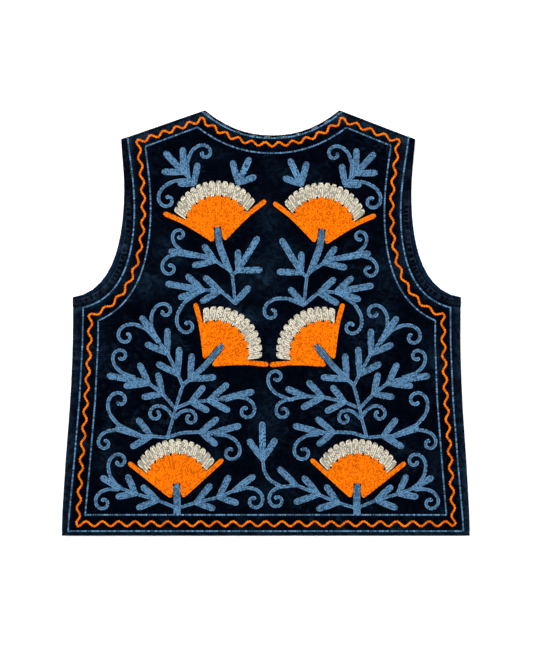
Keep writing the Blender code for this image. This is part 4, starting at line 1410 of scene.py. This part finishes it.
def twist_group():
    """Group for plied cotton: the diagonal plies of the thread and its loose fibres."""
    if "Thread twist" in bpy.data.node_groups:
        return bpy.data.node_groups["Thread twist"]
    tree, start, end = node_group("Thread twist", ("Stitch", "Place"), ("Ply", "Height"))
    wave = tree.nodes.new("ShaderNodeTexWave")
    wave.bands_direction = "DIAGONAL"
    wave.inputs["Scale"].default_value = 2.6
    wave.inputs["Distortion"].default_value = 1.2
    wave.inputs["Detail"].default_value = 2
    tree.links.new(start.outputs["Stitch"], wave.inputs["Vector"])
    fibre = noise_node(tree, start.outputs["Place"], scale=2400, detail=3, roughness=0.6)
    tree.links.new(wave.outputs["Fac"], end.inputs["Ply"])
    tree.links.new(math_node(tree, "ADD", wave.outputs["Fac"], math_node(tree, "MULTIPLY", fibre, 0.7)),
                   end.inputs["Height"])
    return tree


def new_material(name):
    """A new material with nodes: its tree, its shader and its place in object coordinates."""
    material = bpy.data.materials.new(name)
    material.use_nodes = True
    tree = material.node_tree
    shader = tree.nodes["Principled BSDF"]
    place = tree.nodes.new("ShaderNodeTexCoord").outputs["Object"]
    return material, tree, shader, place


def group_node(tree, group, **inputs):
    """A group placed in a material, with sockets linked to its inputs."""
    node = tree.nodes.new("ShaderNodeGroup")
    node.node_tree = group
    for name, socket in inputs.items():
        tree.links.new(socket, node.inputs[name])
    return node


def attribute_node(tree, name):
    """The value of one of the mesh's own attributes."""
    node = tree.nodes.new("ShaderNodeAttribute")
    node.attribute_name = name
    return node.outputs["Fac"]


def bump_node(tree, shader, height, strength, distance):
    """Bump from a height into a shader's normal."""
    node = tree.nodes.new("ShaderNodeBump")
    node.inputs["Strength"].default_value = strength
    node.inputs["Distance"].default_value = distance
    tree.links.new(height, node.inputs["Height"])
    tree.links.new(node.outputs["Normal"], shader.inputs["Normal"])


def velvet_material(name, dark, deep, light):
    """Cotton velvet: deep pile, cloudy nap, and painted sheen: lighter where the painted sheen attribute is
    high.
    """
    material, tree, shader, place = new_material(name)
    cloud = group_node(tree, cloud_group(), Vector=place)
    pile = group_node(tree, pile_group(), Vector=place)
    nap = attribute_node(tree, "nap")
    base = mix_node(tree, cloud.outputs["Clouds"], dark, deep)
    # Painted sheen: the painted sheen attribute lightens the base towards the light colour; the wisps add
    # random lighter tone
    clouded = range_node(tree, cloud.outputs["Clouds"], 0.0, 1.0, 0.25, 1.0)
    painted_sheen_share = math_node(tree, "MULTIPLY", nap, clouded)
    wisps = math_node(tree, "MULTIPLY", cloud.outputs["Wisps"], 0.55)
    share = math_node(tree, "ADD", painted_sheen_share, wisps)
    speckle = range_node(tree, pile.outputs["Speckle"], 0, 1, 0.55, 1.25)
    speckled = math_node(tree, "MULTIPLY", share, speckle, True)
    tree.links.new(mix_node(tree, speckled, base, light), shader.inputs["Base Color"])
    shader.inputs["Roughness"].default_value = 0.95
    shader.inputs["Specular IOR Level"].default_value = 0.01
    shader.inputs["Sheen Weight"].default_value = VELVET_SHEEN
    shader.inputs["Sheen Roughness"].default_value = 0.30
    shader.inputs["Sheen Tint"].default_value = (*light, 1)
    bump_node(tree, shader, pile.outputs["Height"], strength=0.35, distance=0.0005)
    return material


def thread_material(name, colour, shade, hollow_shade_share):
    """Plied cotton thread in chain stitch: each stitch a little different, with painted shade in its
    hollows.

    A hollow keeps a share of the shade colour, partly the velvet showing through. A slack
    stitch opens a wide one and a tight stitch a slight one; the tint attribute says which a stitch is.
    """
    material, tree, shader, place = new_material(name)
    coords = tree.nodes.new("ShaderNodeUVMap")
    coords.uv_map = "stitch"
    twist = group_node(tree, twist_group(), Stitch=coords.outputs["UV"], Place=place)
    tint = attribute_node(tree, "tint")
    rise = attribute_node(tree, "rise")
    worn = noise_node(tree, place, scale=60, detail=3)
    tone = math_node(tree, "ADD", tint, math_node(tree, "MULTIPLY", worn, 1.5))
    toned = mix_node(tree, range_node(tree, tone, -2.2, 2.0), shade, colour)
    # Painted shade in the hollows: a share of the shade colour, partly the velvet seen through the loop
    hollow = tuple(part * hollow_shade_share for part in shade)
    away = tree.nodes.new("ShaderNodeVectorMath")
    away.operation = "DISTANCE"
    away.inputs[1].default_value = (0.46, 0.5, 0)
    tree.links.new(coords.outputs["UV"], away.inputs[0])
    # Where the painted shade goes: the loop's centre, the stitch's foot by its rise, tight stitches by
    # their tint, and between the plies
    loop = range_node(tree, away.outputs["Value"], 0.24, 0.50)
    slack = math_node(tree, "MULTIPLY", range_node(tree, rise, 0.0, 0.85, 0.12, 1.0), loop)
    shut = range_node(tree, tint, -0.55, -0.30)
    tight = math_node(tree, "MULTIPLY", range_node(tree, rise, 0.0, 0.85, 0.55, 1.0), shut)
    raised = math_node(tree, "MULTIPLY", math_node(tree, "MAXIMUM", slack, tight),
                       range_node(tree, twist.outputs["Ply"], 0, 1, 0.84, 1.0), True)
    tree.links.new(mix_node(tree, raised, hollow, toned), shader.inputs["Base Color"])
    shader.inputs["Roughness"].default_value = 0.75
    shader.inputs["Specular IOR Level"].default_value = 0.03
    shader.inputs["Sheen Weight"].default_value = 0.10
    shader.inputs["Sheen Roughness"].default_value = 0.4
    shader.inputs["Sheen Tint"].default_value = (*colour, 1)
    bump_node(tree, shader, twist.outputs["Height"], strength=0.5, distance=0.0002)
    return material


def finish(name):
    """The material of a finish, made once from the colours in the panel."""
    if name in FINISHES:
        return FINISHES[name]
    cloth = bpy.context.scene.vest_cloth
    thread = bpy.context.scene.vest_thread
    if name == "velvet":
        material = velvet_material("Navy velvet", cloth.velvet_dark, cloth.velvet_deep, cloth.velvet_light)
    elif name == "band_velvet":
        material = velvet_material("Band velvet", cloth.velvet_dark, cloth.velvet_deep, cloth.band_light)
    elif name == "facing_velvet":
        material = velvet_material("Front velvet at the armhole", cloth.facing_dark, cloth.facing_deep,
                                   cloth.facing_light)
    elif name == "blue_thread":
        material = thread_material("Blue cotton", thread.blue, thread.blue_shade, HOLLOW_SHADE_SHARES[name])
    elif name == "orange_thread":
        material = thread_material("Orange cotton", thread.orange, thread.orange_shade, HOLLOW_SHADE_SHARES[name])
    elif name == "cream_thread":
        material = thread_material("Cream cotton", thread.cream, thread.cream_shade, HOLLOW_SHADE_SHARES[name])
    else:
        raise RuntimeError(f"there is no finish named {name}")
    FINISHES[name] = material
    return material


def make_border():
    """The three chain rows of the border."""
    thread = bpy.context.scene.vest_thread
    heights = cloth_heights()
    pitch = thread.border_length
    size = (pitch * BORDER_OVERLAP, thread.border_width, thread.stitch_height)
    for name in ("outer", "inner", "neck"):
        rows, closed = border_row(name, thread.border_width)
        stitch(f"{name}_row", rows, "blue_thread", size, pitch, heights, closed)


def make_wave():
    """The orange waving row of the border."""
    thread = bpy.context.scene.vest_thread
    pitch = thread.border_length
    size = (pitch * WAVE_OVERLAP, thread.wave_width, thread.stitch_height * WAVE_HEIGHT)
    stitch("wave_row", [wave_path()], "orange_thread", size, pitch, cloth_heights(), True)


def motif_size(thread):
    """Length, width and height of a motif's stitches."""
    return thread.stitch_length * MOTIF_OVERLAP, thread.row_spacing * MOTIF_WIDTH, thread.stitch_height


def make_fans():
    """The six fans and their petals."""
    thread = bpy.context.scene.vest_thread
    heights = cloth_heights()
    spacing = thread.row_spacing
    size = motif_size(thread)
    pitch = thread.stitch_length
    for side, sign in (("left", -1), ("right", 1)):
        for fan in FANS:
            stitch(f"fan_{fan.name}_{side}", fan_rows(fan, sign, spacing), "orange_thread", size, pitch,
                   heights, padded=True, lift=lambda point: FAN_LIFT)
            stitch(f"petals_{fan.name}_{side}", petal_rows(fan, sign, spacing), "cream_thread", size, pitch,
                   heights, padded=True, lift=tucked_under(fan, sign))


def make_vines():
    """The vines of both halves: stems, leaves, curls and the stalks with their buds."""
    thread = bpy.context.scene.vest_thread
    heights = cloth_heights()
    spacing = thread.row_spacing
    for side, sign in (("left", -1), ("right", 1)):
        for name in VINES:
            obj = stitch(f"{name}_{side}", vine_rows(name, side, sign, spacing), "blue_thread",
                         motif_size(thread), thread.stitch_length, heights, padded=True)
            if name in STALKS:
                deepen_bud(obj, FANS[STALKS[name][0]], sign)
    drop_template()


def make_stage():
    """The pale floor, the soft light and the camera above."""
    stage = bpy.context.scene.vest_stage
    bm = bmesh.new()
    bmesh.ops.create_grid(bm, x_segments=1, y_segments=1, size=3)
    bmesh.ops.translate(bm, verts=bm.verts, vec=(0, 0, -GAP))
    material, tree, shader, place = new_material("Pale floor")
    paper = noise_node(tree, place, scale=240, detail=3)
    colour = tuple(stage.floor_colour)
    tree.links.new(mix_node(tree, paper, colour, tuple(part * 0.985 for part in colour)),
                   shader.inputs["Base Color"])
    shader.inputs["Roughness"].default_value = 0.9
    shader.inputs["Specular IOR Level"].default_value = 0.1
    floor = finish_mesh(bm, "floor", [material])
    world = bpy.data.worlds.new("Studio")
    world.use_nodes = True
    world.node_tree.nodes["Background"].inputs["Color"].default_value = (1, 1, 1, 1)
    world.node_tree.nodes["Background"].inputs["Strength"].default_value = stage.room_light
    bpy.context.scene.world = world
    for name, place, size, share in SOFTBOXES:
        light = bpy.data.lights.new(name, "AREA")
        light.shape = "SQUARE"
        light.size = size
        light.energy = stage.key_power * share
        lamp = add_object(name, light)
        lamp.location = place
        lamp.rotation_euler = (-Vector(place)).to_track_quat("-Z", "Y").to_euler()
    camera = bpy.data.cameras.new("camera")
    frame_height = PHOTO_HEIGHT * PIXEL
    camera.sensor_fit = "VERTICAL"
    camera.sensor_height = SENSOR_HEIGHT
    camera.lens = camera.sensor_height * stage.camera_height / frame_height
    camera.clip_end = 20
    eye = add_object("camera", camera)
    beside = (PHOTO_WIDTH / 2 - VEST_IN_PHOTO[0]) * PIXEL
    ahead = (VEST_IN_PHOTO[1] - PHOTO_HEIGHT / 2) * PIXEL
    eye.location = (beside, ahead, stage.camera_height)
    bpy.context.scene.camera = eye
    bpy.context.scene.view_settings.view_transform = "Standard"


def colour_property(name, description, default):
    """A colour that a user may change."""
    return bpy.props.FloatVectorProperty(name=name, description=description, subtype="COLOR", size=3,
                                         min=0, max=1, default=default)


def length_property(name, description, default):
    """A length that a user may change."""
    return bpy.props.FloatProperty(name=name, description=description, unit="LENGTH", default=default,
                                   min=0.0001, precision=4)


class VestCloth(bpy.types.PropertyGroup):
    """Colours of the velvet."""

    velvet_dark: colour_property("Velvet shade", "Darkest tone of the velvet", (0.00003, 0.00025, 0.0012))
    velvet_deep: colour_property("Velvet", "Usual tone of the velvet", (0.00016, 0.0009, 0.0029))
    velvet_light: colour_property("Velvet light", "Where the nap is lit", (0.0062, 0.0155, 0.0300))
    band_light: colour_property("Band light", "Light on the armhole bands", (0.0120, 0.0210, 0.0360))
    facing_dark: colour_property("Facing shade", "Darkest of the fronts' bands", (0.0007, 0.0040, 0.0125))
    facing_deep: colour_property("Facing", "Usual tone of the fronts' bands", (0.0019, 0.0088, 0.0240))
    facing_light: colour_property("Facing light", "Light on the fronts' bands", (0.0080, 0.0230, 0.0520))


class VestThread(bpy.types.PropertyGroup):
    """Colours and sizes of the embroidery."""

    blue: colour_property("Blue", "Blue thread", (0.119, 0.268, 0.452))
    blue_shade: colour_property("Blue shade", "Blue of deeper stitches", (0.080, 0.195, 0.345))
    orange: colour_property("Orange", "Orange thread", (0.790, 0.178, 0.0002))
    orange_shade: colour_property("Orange shade", "Orange of deeper stitches", (0.760, 0.132, 0.0002))
    cream: colour_property("Cream", "Cream thread", (0.840, 0.785, 0.640))
    cream_shade: colour_property("Cream shade", "Cream of deeper stitches", (0.620, 0.560, 0.430))
    stitch_length: length_property("Stitch", "Length of a chain stitch along its row", 0.0022)
    stitch_height: length_property("Stitch height", "How far a stitch stands up", 0.0010)
    row_spacing: length_property("Row spacing", "Distance between the rows that fill a motif", 0.00187)
    border_length: length_property("Border stitch", "Length of a stitch of the border rows", 0.0030)
    border_width: length_property("Border row", "Width of a border row", 0.0028)
    wave_width: length_property("Wave row", "Width of the waving row", 0.0038)


class VestStage(bpy.types.PropertyGroup):
    """Floor, light and camera."""

    floor_colour: colour_property("Floor", "Colour of the floor", (0.90, 0.90, 0.90))
    room_light: bpy.props.FloatProperty(name="Room light", description="Strength of the even light",
                                        default=0.76)
    key_power: bpy.props.FloatProperty(name="Softbox", description="Power of the brighter softbox",
                                       unit="POWER", default=71)
    camera_height: length_property("Camera height", "Height of the camera above the vest", 2.4)


class FOLK_VEST_OT_back(bpy.types.Operator):
    """Make the velvet back"""

    bl_idname = "folk_vest.back"
    bl_label = "Back"

    def execute(self, context):
        make_back()
        return {"FINISHED"}


class FOLK_VEST_OT_fronts(bpy.types.Operator):
    """Make the fronts that lie face down underneath, with their armhole bands"""

    bl_idname = "folk_vest.fronts"
    bl_label = "Fronts"

    def execute(self, context):
        make_fronts()
        return {"FINISHED"}


class FOLK_VEST_OT_armhole_bands(bpy.types.Operator):
    """Make the puckered bands along the back's armholes"""

    bl_idname = "folk_vest.armhole_bands"
    bl_label = "Armhole bands"

    def execute(self, context):
        make_bands()
        return {"FINISHED"}


class FOLK_VEST_OT_neck_binding(bpy.types.Operator):
    """Make the rolled binding along the neck"""

    bl_idname = "folk_vest.neck_binding"
    bl_label = "Neck binding"

    def execute(self, context):
        make_binding()
        return {"FINISHED"}


class FOLK_VEST_OT_border_rows(bpy.types.Operator):
    """Work the blue chain rows of the border"""

    bl_idname = "folk_vest.border_rows"
    bl_label = "Border rows"

    def execute(self, context):
        make_border()
        return {"FINISHED"}


class FOLK_VEST_OT_wave_row(bpy.types.Operator):
    """Work the orange waving row of the border"""

    bl_idname = "folk_vest.wave_row"
    bl_label = "Wave row"

    def execute(self, context):
        make_wave()
        return {"FINISHED"}


class FOLK_VEST_OT_fans(bpy.types.Operator):
    """Work the fans and their petals"""

    bl_idname = "folk_vest.fans"
    bl_label = "Fans and petals"

    def execute(self, context):
        make_fans()
        return {"FINISHED"}


class FOLK_VEST_OT_vines(bpy.types.Operator):
    """Work the vines with their leaves, curls and buds"""

    bl_idname = "folk_vest.vines"
    bl_label = "Vines"

    def execute(self, context):
        make_vines()
        return {"FINISHED"}


class FOLK_VEST_OT_stage(bpy.types.Operator):
    """Lay the pale floor, hang the lights and set the camera above"""

    bl_idname = "folk_vest.stage"
    bl_label = "Stage"

    def execute(self, context):
        make_stage()
        return {"FINISHED"}


OPERATORS = (
    FOLK_VEST_OT_stage,
    FOLK_VEST_OT_back,
    FOLK_VEST_OT_fronts,
    FOLK_VEST_OT_armhole_bands,
    FOLK_VEST_OT_neck_binding,
    FOLK_VEST_OT_border_rows,
    FOLK_VEST_OT_wave_row,
    FOLK_VEST_OT_fans,
    FOLK_VEST_OT_vines,
)


class FOLK_VEST_PT_pieces(bpy.types.Panel):
    """The vest's pieces, with their colours and sizes"""

    bl_idname = "FOLK_VEST_PT_pieces"
    bl_label = "Folk Vest"
    bl_space_type = "VIEW_3D"
    bl_region_type = "UI"
    bl_category = "Folk Vest"

    def draw(self, context):
        for title, settings in (("Cloth", context.scene.vest_cloth), ("Thread", context.scene.vest_thread),
                                ("Stage", context.scene.vest_stage)):
            box = self.layout.box()
            box.label(text=title)
            for name in settings.__annotations__:
                box.prop(settings, name)
        column = self.layout.column()
        for operator in OPERATORS:
            column.operator(operator.bl_idname)


CLASSES = (VestCloth, VestThread, VestStage, *OPERATORS, FOLK_VEST_PT_pieces)


def register():
    """Register the classes and keep the settings on the scene."""
    for item in CLASSES:
        bpy.utils.register_class(item)
    bpy.types.Scene.vest_cloth = bpy.props.PointerProperty(type=VestCloth)
    bpy.types.Scene.vest_thread = bpy.props.PointerProperty(type=VestThread)
    bpy.types.Scene.vest_stage = bpy.props.PointerProperty(type=VestStage)


def unregister():
    """Take the settings and classes away again."""
    del bpy.types.Scene.vest_stage
    del bpy.types.Scene.vest_thread
    del bpy.types.Scene.vest_cloth
    for item in reversed(CLASSES):
        bpy.utils.unregister_class(item)


def main():
    """Make the vest and its stage."""
    register()
    for operator in OPERATORS:
        group, name = operator.bl_idname.split(".")
        getattr(getattr(bpy.ops, group), name)()


if __name__ == "__main__":
    main()
